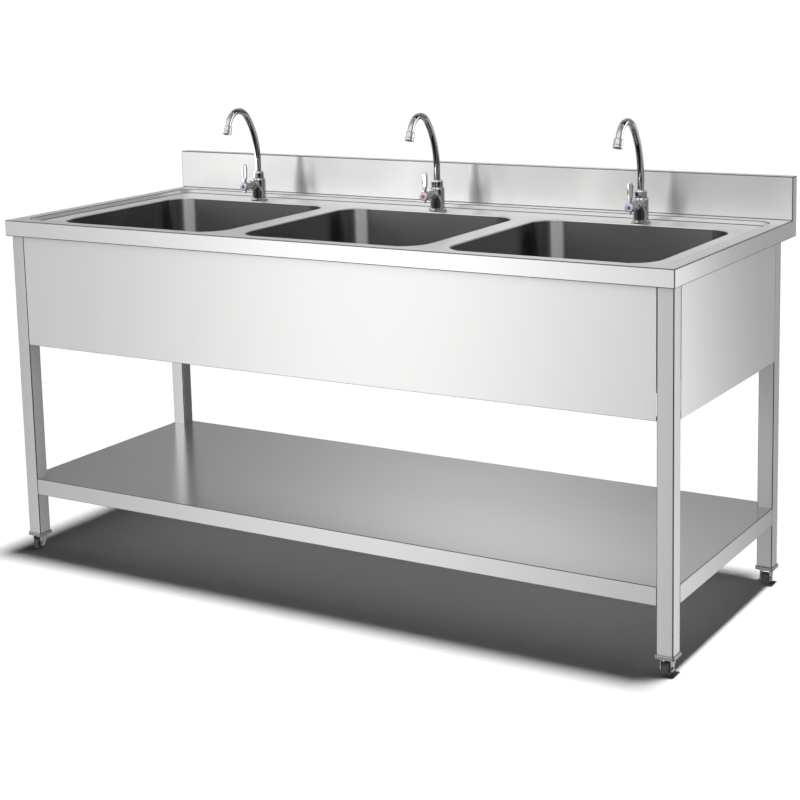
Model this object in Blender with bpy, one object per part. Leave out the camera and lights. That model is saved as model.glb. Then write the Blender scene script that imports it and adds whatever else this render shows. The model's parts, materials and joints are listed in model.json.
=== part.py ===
"""Free-standing three compartment sink unit in folded stainless steel sheet.

The frame is in metres, +Z up, with +X along the length and the user standing on the -Y side. The origin
is on the floor, under the centre of the rim's outline. The worktop hangs over a frame of four square
tube legs, four apron panels and a flat undershelf, and each leg stands on a small swivel caster. Behind
each bowl a single lever tap with a swan neck spout stands on the recessed deck.
"""

import math

import bmesh
import bpy
from mathutils import Matrix, Vector

# Overall sizes
WIDTH = 1.800
DEPTH = 0.750
RIM_TOP = 0.865
GAP = 0.0003  # air between neighbouring pieces
RUNNING_GAP = 0.0006  # air round a piece that turns or slides in another

# Worktop: one sheet with a raised rim, a recessed deck and an upstand along the wall
SHEET = 0.0012
RIM_FOLD = 0.040
RIM_RETURN = 0.0055
RIM_BAND = 0.034
EDGE_RADIUS = 0.002
DECK_DROP = 0.010
SLOPE_RUN = 0.011
DECK_CORNER = 0.040
SPLASH_HEIGHT = 0.103
SPLASH_DEPTH = 0.028
DECK_TOP = RIM_TOP - DECK_DROP
RIM_BOTTOM = RIM_TOP - RIM_FOLD
FRONT, BACK = -DEPTH / 2, DEPTH / 2
LEFT, RIGHT = -WIDTH / 2, WIDTH / 2
SPLASH_FACE = BACK - SPLASH_DEPTH
DECK_BACK_EDGE = SPLASH_FACE - 0.031

# Bowls
BOWL_PITCH = 0.560
BOWL_WIDTH = 0.500
BOWL_LENGTH = 0.510
BOWL_CENTRE_Y = -0.034
BOWL_DEPTH = 0.300
BOWL_CORNER = 0.070
BOWL_DRAFT = 0.008
BOWL_FLOOR_RADIUS = 0.030
BOWL_FLANGE = 0.008
FLOOR_FALL = 0.004
FLOOR_LEVEL_RIM = 0.006  # level floor left round the drain's flange
FOOT_STEPS = 3  # facets round the foot of a bowl's walls
CORNER_STEPS = 5  # facets in each round corner of a bowl or of the deck
SIDES = {"left": -BOWL_PITCH, "middle": 0.0, "right": BOWL_PITCH}

# Legs, aprons and shelf
LEG = 0.038
LEG_WALL = 0.0012
LEG_RADIUS = 0.003
LEG_BOTTOM = 0.045
LEG_INSET_SIDE = 0.007
LEG_INSET_FRONT = 0.015
LEG_INSET_BACK = 0.085
APRON_SHEET = 0.001
APRON_BOTTOM = 0.545
APRON_TOP = 0.850
APRON_RETURN = 0.018
APRON_LIP = 0.006
APRON_BEND = 0.0015
SHELF_TOP = 0.192
SHELF_FLANGE = 0.042
SHELF_RETURN = 0.012
STIFFENER_WIDTH = 0.080
STIFFENER_HEIGHT = 0.028
STIFFENER_BRIM = 0.020
STIFFENER_END_INSET = 0.020
FRAME_LEFT = LEFT + LEG_INSET_SIDE
FRAME_RIGHT = RIGHT - LEG_INSET_SIDE
FRAME_FRONT = FRONT + LEG_INSET_FRONT
FRAME_BACK = BACK - LEG_INSET_BACK
LEG_TOP = DECK_TOP - SHEET - GAP
LEG_CENTRES = {
    "front_left": (FRAME_LEFT + LEG / 2, FRAME_FRONT + LEG / 2),
    "front_right": (FRAME_RIGHT - LEG / 2, FRAME_FRONT + LEG / 2),
    "back_left": (FRAME_LEFT + LEG / 2, FRAME_BACK - LEG / 2),
    "back_right": (FRAME_RIGHT - LEG / 2, FRAME_BACK - LEG / 2),
}

# Casters
CAP_SIDE = 0.045
CAP_THICKNESS = 0.008
CAP_CHAMFER = 0.0012
CAP_CORNER = 0.005
CAP_PLUG = 0.0345
CAP_PLUG_HEIGHT = 0.016
CAP_PLUG_CORNER = 0.0022
SWIVEL_STEM_RADIUS = 0.004
SWIVEL_STEM_HEIGHT = 0.010
WHEEL_RADIUS = 0.014
WHEEL_WIDTH = 0.018
WHEEL_TRAIL = 0.006
WHEEL_HUB_RADIUS = 0.0060
WHEEL_WEB_RADIUS = 0.0105
WHEEL_WEB_INSET = 0.0015
TREAD_CROWN = 0.0010
TREAD_SHOULDER = 0.0040
AXLE_RADIUS = 0.0025
AXLE_HEAD_RADIUS = 0.0048
AXLE_HEAD_HEIGHT = 0.003
CHEEK_INNER = 0.0103
CHEEK_OUTER = 0.0125
CHEEK_FOOT = 0.0065  # radius of the cheek's round end about the axle
CHEEK_SHOULDER = 0.008
CROWN_TOP = LEG_BOTTOM - CAP_THICKNESS - GAP
CROWN_THICKNESS = 0.003
CROWN_DEPTH = 0.026

# Taps: heights are above the deck
TAP_Y = 0.248
TAP_HOLE_RADIUS = 0.0125
SHANK_RADIUS = 0.0105
SHANK_LENGTH = 0.045
BASE_RADIUS = 0.0235
BASE_HEIGHT = 0.006
BASE_CHAMFER = 0.003
BODY_RADIUS = 0.0185
BODY_TOP = 0.062
BODY_CHAMFER = 0.004
COLLAR_RADIUS = 0.015
COLLAR_TOP = 0.080
COLLAR_CHAMFER = 0.003
TUBE_RADIUS = 0.0082
TUBE_WALL = 0.0012
TUBE_SEAT = 0.050
RISE_TOP = 0.110
SWEEP_RADIUS = 0.190
SWEEP_ANGLE = math.radians(40)
SWEEP_STEPS = 4
HOOK_RADIUS = 0.048
HOOK_STEPS = 7
NOZZLE_ANGLE = math.radians(160)
NOZZLE_RUN = 0.016
AERATOR_RADIUS = 0.012
AERATOR_LENGTH = 0.022
AERATOR_OVERLAP = 0.011
AERATOR_BORE = 0.0070
STEM_HEIGHT = 0.045
STEM_BOSS_RADIUS = 0.0125
STEM_BOSS_END = 0.034
STEM_STEP = 0.003
STEM_NECK_RADIUS = 0.009
STEM_END = 0.054
HUB_RADIUS = 0.0115
HUB_LENGTH = 0.016
HUB_CHAMFER = 0.0015
INDEX_RADIUS = 0.0095
INDEX_THICKNESS = 0.003
INDEX_CHAMFER = 0.002
NECK_RADIUS = 0.0055
NECK_WAIST_RADIUS = 0.0045
NECK_WAIST = 0.018
NECK_TOP = 0.024
LEVER_LENGTH = 0.060
LEVER_WIDTH = 0.015
LEVER_THICKNESS = 0.0055
LEVER_EDGE = 0.0012
NUB_RADIUS = 0.0045
NUB_LENGTH = 0.017
NUB_CHAMFER = 0.002
LOCKNUT_CORNER = 0.0155
LOCKNUT_HEIGHT = 0.007
THREAD_CLEARANCE = 0.0004

# Drains: heights are from the bowl's floor
DRAIN_HOLE = 0.045
DRAIN_FLANGE = 0.056
DRAIN_FLANGE_THICKNESS = 0.002
THROAT_OUTER = 0.0435
THROAT_INNER = 0.0420
THROAT_DEPTH = 0.034
THROAT_FLOOR = 0.006
TAIL_OUTER = 0.020
TAIL_INNER = 0.018
TAIL_DEPTH = 0.058
FLANGE_BEVEL = 0.003
BASKET_RADIUS = 0.0405
BASKET_LIP = 0.002
BASKET_TOP = -0.001
BASKET_DEPTH = 0.026
BASKET_FLOOR_RADIUS = 0.033
BASKET_WALL = 0.001
POST_RADIUS = 0.003
KNOB_RADIUS = 0.007
KNOB_HEIGHT = 0.011
KNOB_EDGE = 0.003
KNOB_UNDERCUT = 0.002
NUT_OUTER = 0.055
NUT_INNER = 0.0443
NUT_HEIGHT = 0.010
FLOOR_TOP = DECK_TOP - SHEET - GAP - BOWL_DEPTH

SMOOTH_ANGLE = math.radians(40)
OVERSHOOT = 0.01  # how far a cutter reaches past the piece that it cuts


# ---------------------------------------------------------------- materials


def material(name, colour, roughness, metallic):
    made = bpy.data.materials.new(name)
    made.use_nodes = True
    shader = made.node_tree.nodes["Principled BSDF"]
    shader.inputs["Base Color"].default_value = (*colour, 1.0)
    shader.inputs["Roughness"].default_value = roughness
    shader.inputs["Metallic"].default_value = metallic
    return made


def make_materials():
    return {
        "brushed_steel": material("brushed_steel", (0.62, 0.62, 0.61), 0.32, 1.0),
        "bowl_steel": material("bowl_steel", (0.42, 0.42, 0.42), 0.38, 1.0),
        "chrome": material("chrome", (0.80, 0.80, 0.82), 0.06, 1.0),
        "zinc": material("zinc", (0.55, 0.55, 0.56), 0.30, 1.0),
        "rubber": material("rubber", (0.03, 0.03, 0.03), 0.75, 0.0),
        "blue_index": material("blue_index", (0.10, 0.18, 0.65), 0.30, 0.0),
        "red_index": material("red_index", (0.70, 0.08, 0.10), 0.30, 0.0),
    }


# ---------------------------------------------------------------- mesh tools


def finished(bm):
    """The mesh of a closed bmesh, with doubled points joined and faces pointing out."""
    bmesh.ops.remove_doubles(bm, verts=bm.verts, dist=1e-6)
    bmesh.ops.recalc_face_normals(bm, faces=bm.faces)
    mesh = bpy.data.meshes.new("piece")
    bm.to_mesh(mesh)
    bm.free()
    return mesh


def rounded_outline(half_x, half_y, radius, steps=CORNER_STEPS, centre=(0.0, 0.0)):
    """Points round a rectangle with round corners, anticlockwise from the middle of the +X side's end."""
    points = []
    for corner in range(4):
        sign_x = 1 if corner in (0, 3) else -1
        sign_y = 1 if corner in (0, 1) else -1
        centre_x = centre[0] + sign_x * (half_x - radius)
        centre_y = centre[1] + sign_y * (half_y - radius)
        for step in range(steps + 1):
            angle = math.pi / 2 * (corner + step / steps)
            points.append((centre_x + radius * math.cos(angle), centre_y + radius * math.sin(angle)))
    return points


def flat_ring(outline, z):
    return [Vector((x, y, z)) for x, y in outline]


def skin(rings, closed=False):
    """A solid from rings of equal point count: a closed tour of rings, or a stack with capped ends."""
    bm = bmesh.new()
    rows = [[bm.verts.new(point) for point in ring] for ring in rings]
    pairs = list(zip(rows, rows[1:]))
    if closed:
        pairs.append((rows[-1], rows[0]))
    else:
        bm.faces.new(rows[0])
        bm.faces.new(rows[-1])
    for lower, upper in pairs:
        count = len(lower)
        for i in range(count):
            j = (i + 1) % count
            bm.faces.new((lower[i], lower[j], upper[j], upper[i]))
    return finished(bm)


def prism(outline, low, high):
    return skin([flat_ring(outline, low), flat_ring(outline, high)])


def box(low, high):
    bm = bmesh.new()
    bmesh.ops.create_cube(bm, size=1.0)
    centre = (Vector(low) + Vector(high)) / 2
    size = Vector(high) - Vector(low)
    placed = Matrix.Translation(centre) @ Matrix.Diagonal((*size, 1.0))
    bmesh.ops.transform(bm, matrix=placed, verts=bm.verts)
    return finished(bm)


def turned(profile, segments, closed=False):
    """A solid of revolution about Z from (radius, z) points, which meet the axis unless closed."""
    bm = bmesh.new()
    points = [bm.verts.new((radius, 0.0, z)) for radius, z in profile]
    edges = [bm.edges.new(pair) for pair in zip(points, points[1:])]
    if closed:
        edges.append(bm.edges.new((points[-1], points[0])))
    bmesh.ops.spin(
        bm, geom=points + edges, cent=(0, 0, 0), axis=(0, 0, 1), angle=math.tau, steps=segments
    )
    return finished(bm)


def rod(radius, low, high, segments):
    """A plain round bar on Z."""
    return turned([(0, low), (radius, low), (radius, high), (0, high)], segments)


def moved(mesh, matrix):
    mesh.transform(matrix)
    return mesh


def turned_along_y(profile, segments, closed=False):
    """As turned, with the profile's heights measured towards -Y."""
    return moved(turned(profile, segments, closed), Matrix.Rotation(math.pi / 2, 4, "X"))


def boolean(base, operation, others):
    """The evaluated mesh of base joined with, or cut by, each of the other meshes."""
    target = bpy.data.objects.new("boolean_base", base)
    bpy.context.scene.collection.objects.link(target)
    guides = []
    for mesh in others:
        guide = bpy.data.objects.new("boolean_guide", mesh)
        guide.hide_render = True
        guide.display_type = "WIRE"
        bpy.context.scene.collection.objects.link(guide)
        modifier = target.modifiers.new(operation, "BOOLEAN")
        modifier.operation = operation
        modifier.object = guide
        guides.append(guide)
    evaluated = target.evaluated_get(bpy.context.evaluated_depsgraph_get())
    result = bpy.data.meshes.new_from_object(evaluated)
    for made in [target, *guides]:
        bpy.data.objects.remove(made)
    return result


def union(base, *others):
    return boolean(base, "UNION", others)


def cut(base, *others):
    return boolean(base, "DIFFERENCE", others)


def soft_edges(mesh, width, segments=2):
    """The mesh with its sharp edges rounded."""
    bm = bmesh.new()
    bm.from_mesh(mesh)
    sharp = [edge for edge in bm.edges if edge.calc_face_angle(0.0) > SMOOTH_ANGLE]
    bmesh.ops.bevel(
        bm, geom=sharp, offset=width, segments=segments, profile=0.5, affect="EDGES", clamp_overlap=True
    )
    return finished(bm)


def folded_sheet(section, thickness):
    """A closed outline for a folded strip: its outer line, then that line set in by the thickness."""
    inner = []
    for i, point in enumerate(section):
        before = section[i] - section[i - 1] if i else section[1] - section[0]
        after = section[i + 1] - point if i + 1 < len(section) else before
        across_before = Vector((-before.y, before.x)).normalized()
        across_after = Vector((-after.y, after.x)).normalized()
        mitre = (across_before + across_after).normalized()
        inner.append(point + mitre * thickness / mitre.dot(across_before))
    return section + inner[::-1]


def extruded_strip(section, thickness, start, end, place):
    """A folded strip of even section, run from start to end; place turns (along, u, v) into a position."""
    outline = folded_sheet([Vector(point) for point in section], thickness)
    return skin([[Vector(place(along, u, v)) for u, v in outline] for along in (start, end)])


def put(name, mesh, finish, location=(0, 0, 0), rotation=(0, 0, 0), parent=None):
    """Adds a finished piece to the scene under its own name, with its own material."""
    piece = bpy.data.objects.new(name, mesh)
    piece.data.materials.clear()
    piece.data.materials.append(finish)
    piece.data.shade_smooth()
    piece.data.set_sharp_from_angle(angle=SMOOTH_ANGLE)
    piece.location = location
    piece.rotation_euler = rotation
    piece.parent = parent
    bpy.context.scene.collection.objects.link(piece)
    return piece


def pivot(name, location, parent=None):
    """An empty on a joint's axis, which carries the pieces that turn with it."""
    empty = bpy.data.objects.new(name, None)
    empty.location = location
    empty.parent = parent
    empty.empty_display_size = 0.02
    bpy.context.scene.collection.objects.link(empty)
    return empty


# ---------------------------------------------------------------- worktop and bowls


def deck_pan(inset, lift):
    """The hollow pressed into the rim, with sloping sides; inset widens it and lift raises it."""
    middle_y = (FRONT + RIM_BAND + DECK_BACK_EDGE) / 2
    half_x = WIDTH / 2 - RIM_BAND + inset
    half_y = (DECK_BACK_EDGE - FRONT - RIM_BAND) / 2 + inset
    rings = []
    for out, z in (
        (-SLOPE_RUN, DECK_TOP),
        (0.0, RIM_TOP),
        (SLOPE_RUN, RIM_TOP + DECK_DROP),  # the cutter carries on above the rim at the same slope
    ):
        outline = rounded_outline(
            half_x + out, half_y + out, DECK_CORNER + out + inset, centre=(0.0, middle_y)
        )
        rings.append(flat_ring(outline, z + lift))
    return skin(rings)


def upstand_block(inset, low):
    """The worktop as a full block, a slab with an upstand along its back, set in by inset, down to low."""
    side_view = [
        (FRONT + inset, low),
        (BACK - inset, low),
        (BACK - inset, RIM_TOP + SPLASH_HEIGHT - inset),
        (SPLASH_FACE + inset, RIM_TOP + SPLASH_HEIGHT - inset),
        (SPLASH_FACE + inset, RIM_TOP - inset),
        (FRONT + inset, RIM_TOP - inset),
    ]
    ends = (LEFT + inset, RIGHT - inset)
    return skin([[Vector((x, y, z)) for y, z in side_view] for x in ends])


def worktop_mesh():
    """The rim, deck and upstand as one sheet, folded down at the edges and open underneath."""
    outside = soft_edges(upstand_block(0.0, RIM_BOTTOM), EDGE_RADIUS)
    inside = union(
        upstand_block(SHEET, RIM_BOTTOM + SHEET),
        box(
            (LEFT + RIM_RETURN, FRONT + RIM_RETURN, RIM_BOTTOM - SHEET),
            (RIGHT - RIM_RETURN, BACK - RIM_RETURN, RIM_BOTTOM + 3 * SHEET),
        ),
    )
    slope_length = math.hypot(SLOPE_RUN, DECK_DROP)
    level_inset = SHEET * (slope_length - SLOPE_RUN) / DECK_DROP
    hollow = cut(inside, deck_pan(level_inset, -SHEET))
    sheet = cut(outside, deck_pan(0.0, 0.0), hollow)
    openings = []
    for x in SIDES.values():
        outline = rounded_outline(BOWL_WIDTH / 2, BOWL_LENGTH / 2, BOWL_CORNER, centre=(x, BOWL_CENTRE_Y))
        openings.append(prism(outline, DECK_TOP - OVERSHOOT, DECK_TOP + OVERSHOOT))
        tap_hole = rod(TAP_HOLE_RADIUS, DECK_TOP - OVERSHOOT, DECK_TOP + OVERSHOOT, 16)
        openings.append(moved(tap_hole, Matrix.Translation((x, TAP_Y, 0))))
    return cut(sheet, *openings)


def bowl_mesh():
    """A pressed bowl about its drain: flange, drafted walls, round foot and a floor with a drain hole."""
    half_x, half_y = BOWL_WIDTH / 2, BOWL_LENGTH / 2

    def ring(shrink, z, radius=BOWL_CORNER):
        return flat_ring(rounded_outline(half_x - shrink, half_y - shrink, radius), z)

    def drain_ring(radius, z):
        return flat_ring(rounded_outline(radius, radius, radius), z)

    def wall(offset):
        """Rings round the wall's foot; offset 0 is the inner face and SHEET the outer one."""
        rings = []
        foot_radius = BOWL_FLOOR_RADIUS + offset
        corner_share = 0.8  # the corners keep a little more radius than the walls move in
        for step in range(FOOT_STEPS + 1):
            angle = math.pi / 2 * step / FOOT_STEPS
            inwards = foot_radius * (1 - math.cos(angle))
            z = FLOOR_FALL + BOWL_FLOOR_RADIUS - foot_radius * math.sin(angle)
            corner = BOWL_CORNER + offset - inwards * corner_share
            rings.append(ring(BOWL_DRAFT - offset + inwards, z, corner))
        return rings

    flat_floor = DRAIN_FLANGE + FLOOR_LEVEL_RIM
    top = BOWL_DEPTH
    inner = [ring(-BOWL_FLANGE, top, BOWL_CORNER + BOWL_FLANGE), ring(0.0, top)]
    inner += wall(0.0)
    inner += [drain_ring(flat_floor, 0.0), drain_ring(DRAIN_HOLE, 0.0)]
    outer = [drain_ring(DRAIN_HOLE, -SHEET), drain_ring(flat_floor, -SHEET)]
    outer += wall(SHEET)[::-1]
    outer += [
        ring(-SHEET, top - SHEET, BOWL_CORNER + SHEET),
        ring(-BOWL_FLANGE, top - SHEET, BOWL_CORNER + BOWL_FLANGE),
    ]
    return skin(inner + outer, closed=True)


def add_worktop(finishes):
    put("worktop", worktop_mesh(), finishes["brushed_steel"])
    mesh = bowl_mesh()
    for side, x in SIDES.items():
        put(f"bowl_{side}", mesh, finishes["bowl_steel"], location=(x, BOWL_CENTRE_Y, FLOOR_TOP))


# ---------------------------------------------------------------- frame


def leg_mesh():
    half = LEG / 2
    outer = rounded_outline(half, half, LEG_RADIUS, steps=3)
    inner = rounded_outline(half - LEG_WALL, half - LEG_WALL, LEG_RADIUS - LEG_WALL, steps=3)
    return skin(
        [
            flat_ring(outer, LEG_BOTTOM),
            flat_ring(outer, LEG_TOP),
            flat_ring(inner, LEG_TOP),
            flat_ring(inner, LEG_BOTTOM),
        ],
        closed=True,
    )


def apron_section():
    """Down the outside, round a small bend, inwards along the bottom and up a short lip."""
    points = [(0.0, APRON_TOP)]
    steps = 3
    for step in range(steps + 1):
        angle = math.pi / 2 * step / steps
        inwards, down = APRON_BEND * (1 - math.cos(angle)), APRON_BEND * math.sin(angle)
        points.append((inwards, APRON_BOTTOM + APRON_BEND - down))
    points += [(APRON_RETURN, APRON_BOTTOM), (APRON_RETURN, APRON_BOTTOM + APRON_LIP)]
    return points


def add_aprons(finishes):
    section = apron_section()
    between_x = FRAME_RIGHT - LEG - GAP
    front_y, back_y = FRAME_FRONT + LEG + GAP, FRAME_BACK - LEG - GAP
    runs = {
        "apron_front": (-between_x, between_x, lambda a, u, v: (a, FRAME_FRONT + u, v)),
        "apron_back": (-between_x, between_x, lambda a, u, v: (a, FRAME_BACK - u, v)),
        "apron_left": (front_y, back_y, lambda a, u, v: (FRAME_LEFT + u, a, v)),
        "apron_right": (front_y, back_y, lambda a, u, v: (FRAME_RIGHT - u, a, v)),
    }
    for name, (start, end, place) in runs.items():
        put(name, extruded_strip(section, APRON_SHEET, start, end, place), finishes["brushed_steel"])


def shelf_mesh():
    """A flat tray turned over: four flanges with inward lips, and a square notch round each leg."""
    notch = LEG + GAP
    low = SHELF_TOP - SHELF_FLANGE
    outside = soft_edges(
        box((FRAME_LEFT, FRAME_FRONT, low), (FRAME_RIGHT, FRAME_BACK, SHELF_TOP)), EDGE_RADIUS
    )
    hollow = union(
        box(
            (FRAME_LEFT + SHEET, FRAME_FRONT + SHEET, low + SHEET),
            (FRAME_RIGHT - SHEET, FRAME_BACK - SHEET, SHELF_TOP - SHEET),
        ),
        box(
            (FRAME_LEFT + SHELF_RETURN, FRAME_FRONT + SHELF_RETURN, low - SHEET),
            (FRAME_RIGHT - SHELF_RETURN, FRAME_BACK - SHELF_RETURN, low + 3 * SHEET),
        ),
    )
    notches = []
    for x, y in LEG_CENTRES.values():
        side_x, side_y = math.copysign(1, x), math.copysign(1, y)
        corner_x = FRAME_RIGHT * side_x
        corner_y = FRAME_BACK if side_y > 0 else FRAME_FRONT
        xs = sorted((corner_x + OVERSHOOT * side_x, corner_x - notch * side_x))
        ys = sorted((corner_y + OVERSHOOT * side_y, corner_y - notch * side_y))
        notches.append(box((xs[0], ys[0], low - OVERSHOOT), (xs[1], ys[1], SHELF_TOP + OVERSHOOT)))
    return cut(outside, hollow, *notches)


def stiffener_mesh():
    """A hat section that runs along the underside of the shelf."""
    top = SHELF_TOP - SHEET - GAP
    half = STIFFENER_WIDTH / 2
    foot = top - STIFFENER_HEIGHT
    section = [
        (-half, top),
        (-half + STIFFENER_BRIM, top),
        (-half + STIFFENER_BRIM, foot),
        (half - STIFFENER_BRIM, foot),
        (half - STIFFENER_BRIM, top),
        (half, top),
    ]
    middle = (FRAME_FRONT + FRAME_BACK) / 2
    reach = FRAME_RIGHT - STIFFENER_END_INSET
    return extruded_strip(section, -APRON_SHEET, -reach, reach, lambda a, u, v: (a, middle + u, v))


def add_frame(finishes):
    legs = leg_mesh()
    for corner, (x, y) in LEG_CENTRES.items():
        put(f"leg_{corner}", legs, finishes["brushed_steel"], location=(x, y, 0))
    add_aprons(finishes)
    put("shelf", shelf_mesh(), finishes["brushed_steel"])
    put("shelf_stiffener", stiffener_mesh(), finishes["brushed_steel"])


# ---------------------------------------------------------------- casters


def caster_cap_mesh():
    """A square cap under the leg, with a plug inside the tube and a hole for the swivel stem."""
    half, plug = CAP_SIDE / 2, CAP_PLUG / 2
    low, high = LEG_BOTTOM - CAP_THICKNESS, LEG_BOTTOM - GAP
    face = rounded_outline(half - CAP_CHAMFER, half - CAP_CHAMFER, CAP_CORNER - CAP_CHAMFER, 2)
    edge = rounded_outline(half, half, CAP_CORNER, 2)
    shoulder = rounded_outline(plug, plug, CAP_PLUG_CORNER, 2)
    body = skin(
        [
            flat_ring(face, low),
            flat_ring(edge, low + CAP_CHAMFER),
            flat_ring(edge, high - CAP_CHAMFER),
            flat_ring(face, high),
            flat_ring(shoulder, high),
            flat_ring(shoulder, high + CAP_PLUG_HEIGHT),
        ]
    )
    hole_top = LEG_BOTTOM + SWIVEL_STEM_HEIGHT + 0.002
    return cut(body, rod(SWIVEL_STEM_RADIUS + RUNNING_GAP, low - OVERSHOOT, hole_top, 16))


def cheek_outline():
    """The cheek seen along X: straight under the crown, then tapered to a round end about the axle."""
    half = CROWN_DEPTH / 2
    top, shoulder = CROWN_TOP - CROWN_THICKNESS / 3, CROWN_TOP - CHEEK_SHOULDER
    outline = [(half, top), (half, shoulder)]
    steps = 6
    for step in range(steps + 1):
        angle = -math.pi * step / steps
        outline.append(
            (-WHEEL_TRAIL + CHEEK_FOOT * math.cos(angle), WHEEL_RADIUS + CHEEK_FOOT * math.sin(angle))
        )
    return outline + [(-half, shoulder), (-half, top)]


def fork_mesh():
    """Crown, swivel stem and two tapered cheeks, about the swivel axis, with the wheel trailing to -Y."""
    half = CROWN_DEPTH / 2
    crown = box((-CHEEK_OUTER, -half, CROWN_TOP - CROWN_THICKNESS), (CHEEK_OUTER, half, CROWN_TOP))
    stem_foot = CROWN_TOP - CROWN_THICKNESS * 2 / 3
    stem = rod(SWIVEL_STEM_RADIUS, stem_foot, LEG_BOTTOM + SWIVEL_STEM_HEIGHT, 16)
    cheeks = []
    for side in (-1, 1):
        near, far = sorted((side * CHEEK_INNER, side * CHEEK_OUTER))
        cheeks.append(skin([[Vector((x, y, z)) for y, z in cheek_outline()] for x in (near, far)]))
    bore = rod(AXLE_RADIUS + GAP, -2 * CHEEK_OUTER, 2 * CHEEK_OUTER, 12)
    to_axle = Matrix.Translation((0, -WHEEL_TRAIL, WHEEL_RADIUS)) @ Matrix.Rotation(math.pi / 2, 4, "Y")
    return cut(union(crown, stem, *cheeks), moved(bore, to_axle))


def wheel_mesh():
    """A crowned tyre on a hub, turned about X."""
    half = WHEEL_WIDTH / 2
    profile = [
        (AXLE_RADIUS + RUNNING_GAP, -half),
        (WHEEL_HUB_RADIUS, -half),
        (WHEEL_WEB_RADIUS, -half + WHEEL_WEB_INSET),
        (WHEEL_RADIUS - TREAD_CROWN, -half + WHEEL_WEB_INSET),
        (WHEEL_RADIUS, -half + TREAD_SHOULDER),
    ]
    profile += [(radius, -z) for radius, z in profile[::-1]]
    return moved(turned(profile, 20, closed=True), Matrix.Rotation(math.pi / 2, 4, "Y"))


def axle_mesh():
    """A bolt through the fork, with a low round head and a nut, along X."""
    face = CHEEK_OUTER + GAP
    end = face + AXLE_HEAD_HEIGHT
    profile = [
        (0, -end),
        (AXLE_HEAD_RADIUS, -end),
        (AXLE_HEAD_RADIUS, -face),
        (AXLE_RADIUS, -face),
        (AXLE_RADIUS, face),
        (AXLE_HEAD_RADIUS, face),
        (AXLE_HEAD_RADIUS, end),
        (0, end),
    ]
    return moved(turned(profile, 10), Matrix.Rotation(math.pi / 2, 4, "Y"))


def add_casters(finishes):
    cap, fork, wheel, axle = caster_cap_mesh(), fork_mesh(), wheel_mesh(), axle_mesh()
    for corner, (x, y) in LEG_CENTRES.items():
        put(f"caster_cap_{corner}", cap, finishes["zinc"], location=(x, y, 0))
        swivel = pivot(f"swivel_{corner}", (x, y, 0))
        put(f"caster_fork_{corner}", fork, finishes["zinc"], parent=swivel)
        hub = (0, -WHEEL_TRAIL, WHEEL_RADIUS)
        put(f"caster_wheel_{corner}", wheel, finishes["rubber"], location=hub, parent=swivel)
        put(f"caster_axle_{corner}", axle, finishes["zinc"], location=hub, parent=swivel)


# ---------------------------------------------------------------- taps


def spout_path():
    """The tube's centre line: straight up, a wide sweep, a tight hook and the nozzle."""
    points = [(0.0, TUBE_SEAT), (0.0, COLLAR_TOP), (0.0, RISE_TOP)]
    for step in range(1, SWEEP_STEPS + 1):
        angle = SWEEP_ANGLE * step / SWEEP_STEPS
        points.append((SWEEP_RADIUS * (1 - math.cos(angle)), RISE_TOP + SWEEP_RADIUS * math.sin(angle)))
    reach, height = points[-1]
    for step in range(1, HOOK_STEPS + 1):
        angle = SWEEP_ANGLE + (NOZZLE_ANGLE - SWEEP_ANGLE) * step / HOOK_STEPS
        points.append(
            (
                reach + HOOK_RADIUS * (math.cos(SWEEP_ANGLE) - math.cos(angle)),
                height + HOOK_RADIUS * (math.sin(angle) - math.sin(SWEEP_ANGLE)),
            )
        )
    reach, height = points[-1]
    onward, upward = NOZZLE_RUN * math.sin(NOZZLE_ANGLE), NOZZLE_RUN * math.cos(NOZZLE_ANGLE)
    points.append((reach + onward, height + upward))
    return [Vector((0.0, -forward, up)) for forward, up in points]


def spout_mesh(path, segments=10):
    """An open tube along the path."""
    tangents = []
    for i in range(len(path)):
        before, after = path[max(i - 1, 0)], path[min(i + 1, len(path) - 1)]
        tangents.append((after - before).normalized())

    def rings(radius):
        made = []
        for point, tangent in zip(path, tangents):
            across = Vector((1, 0, 0))
            other = tangent.cross(across)
            made.append(
                [
                    point + radius * (math.cos(angle) * across + math.sin(angle) * other)
                    for angle in (math.tau * i / segments for i in range(segments))
                ]
            )
        return made

    return skin(rings(TUBE_RADIUS) + rings(TUBE_RADIUS - TUBE_WALL)[::-1], closed=True)


def tap_body_mesh():
    """Base flange, barrel and threaded shank, with a valve stem boss that points to -Y."""
    barrel = turned(
        [
            (0, -SHANK_LENGTH),
            (SHANK_RADIUS, -SHANK_LENGTH),
            (SHANK_RADIUS, GAP),
            (BASE_RADIUS, GAP),
            (BASE_RADIUS, BASE_HEIGHT - BASE_CHAMFER),
            (BASE_RADIUS - BASE_CHAMFER, BASE_HEIGHT),
            (BODY_RADIUS, BASE_HEIGHT),
            (BODY_RADIUS, BODY_TOP - BODY_CHAMFER),
            (COLLAR_RADIUS, BODY_TOP),
            (0, BODY_TOP),
        ],
        16,
    )
    stem = turned_along_y(
        [
            (0, 0),
            (STEM_BOSS_RADIUS, 0),
            (STEM_BOSS_RADIUS, STEM_BOSS_END),
            (STEM_NECK_RADIUS, STEM_BOSS_END + STEM_STEP),
            (STEM_NECK_RADIUS, STEM_END),
            (0, STEM_END),
        ],
        12,
    )
    stem.transform(Matrix.Translation((0, 0, STEM_HEIGHT)))
    spout_socket = rod(TUBE_RADIUS + RUNNING_GAP, TUBE_SEAT - 0.002, BODY_TOP + OVERSHOOT, 16)
    return cut(union(barrel, stem), spout_socket)


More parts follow.
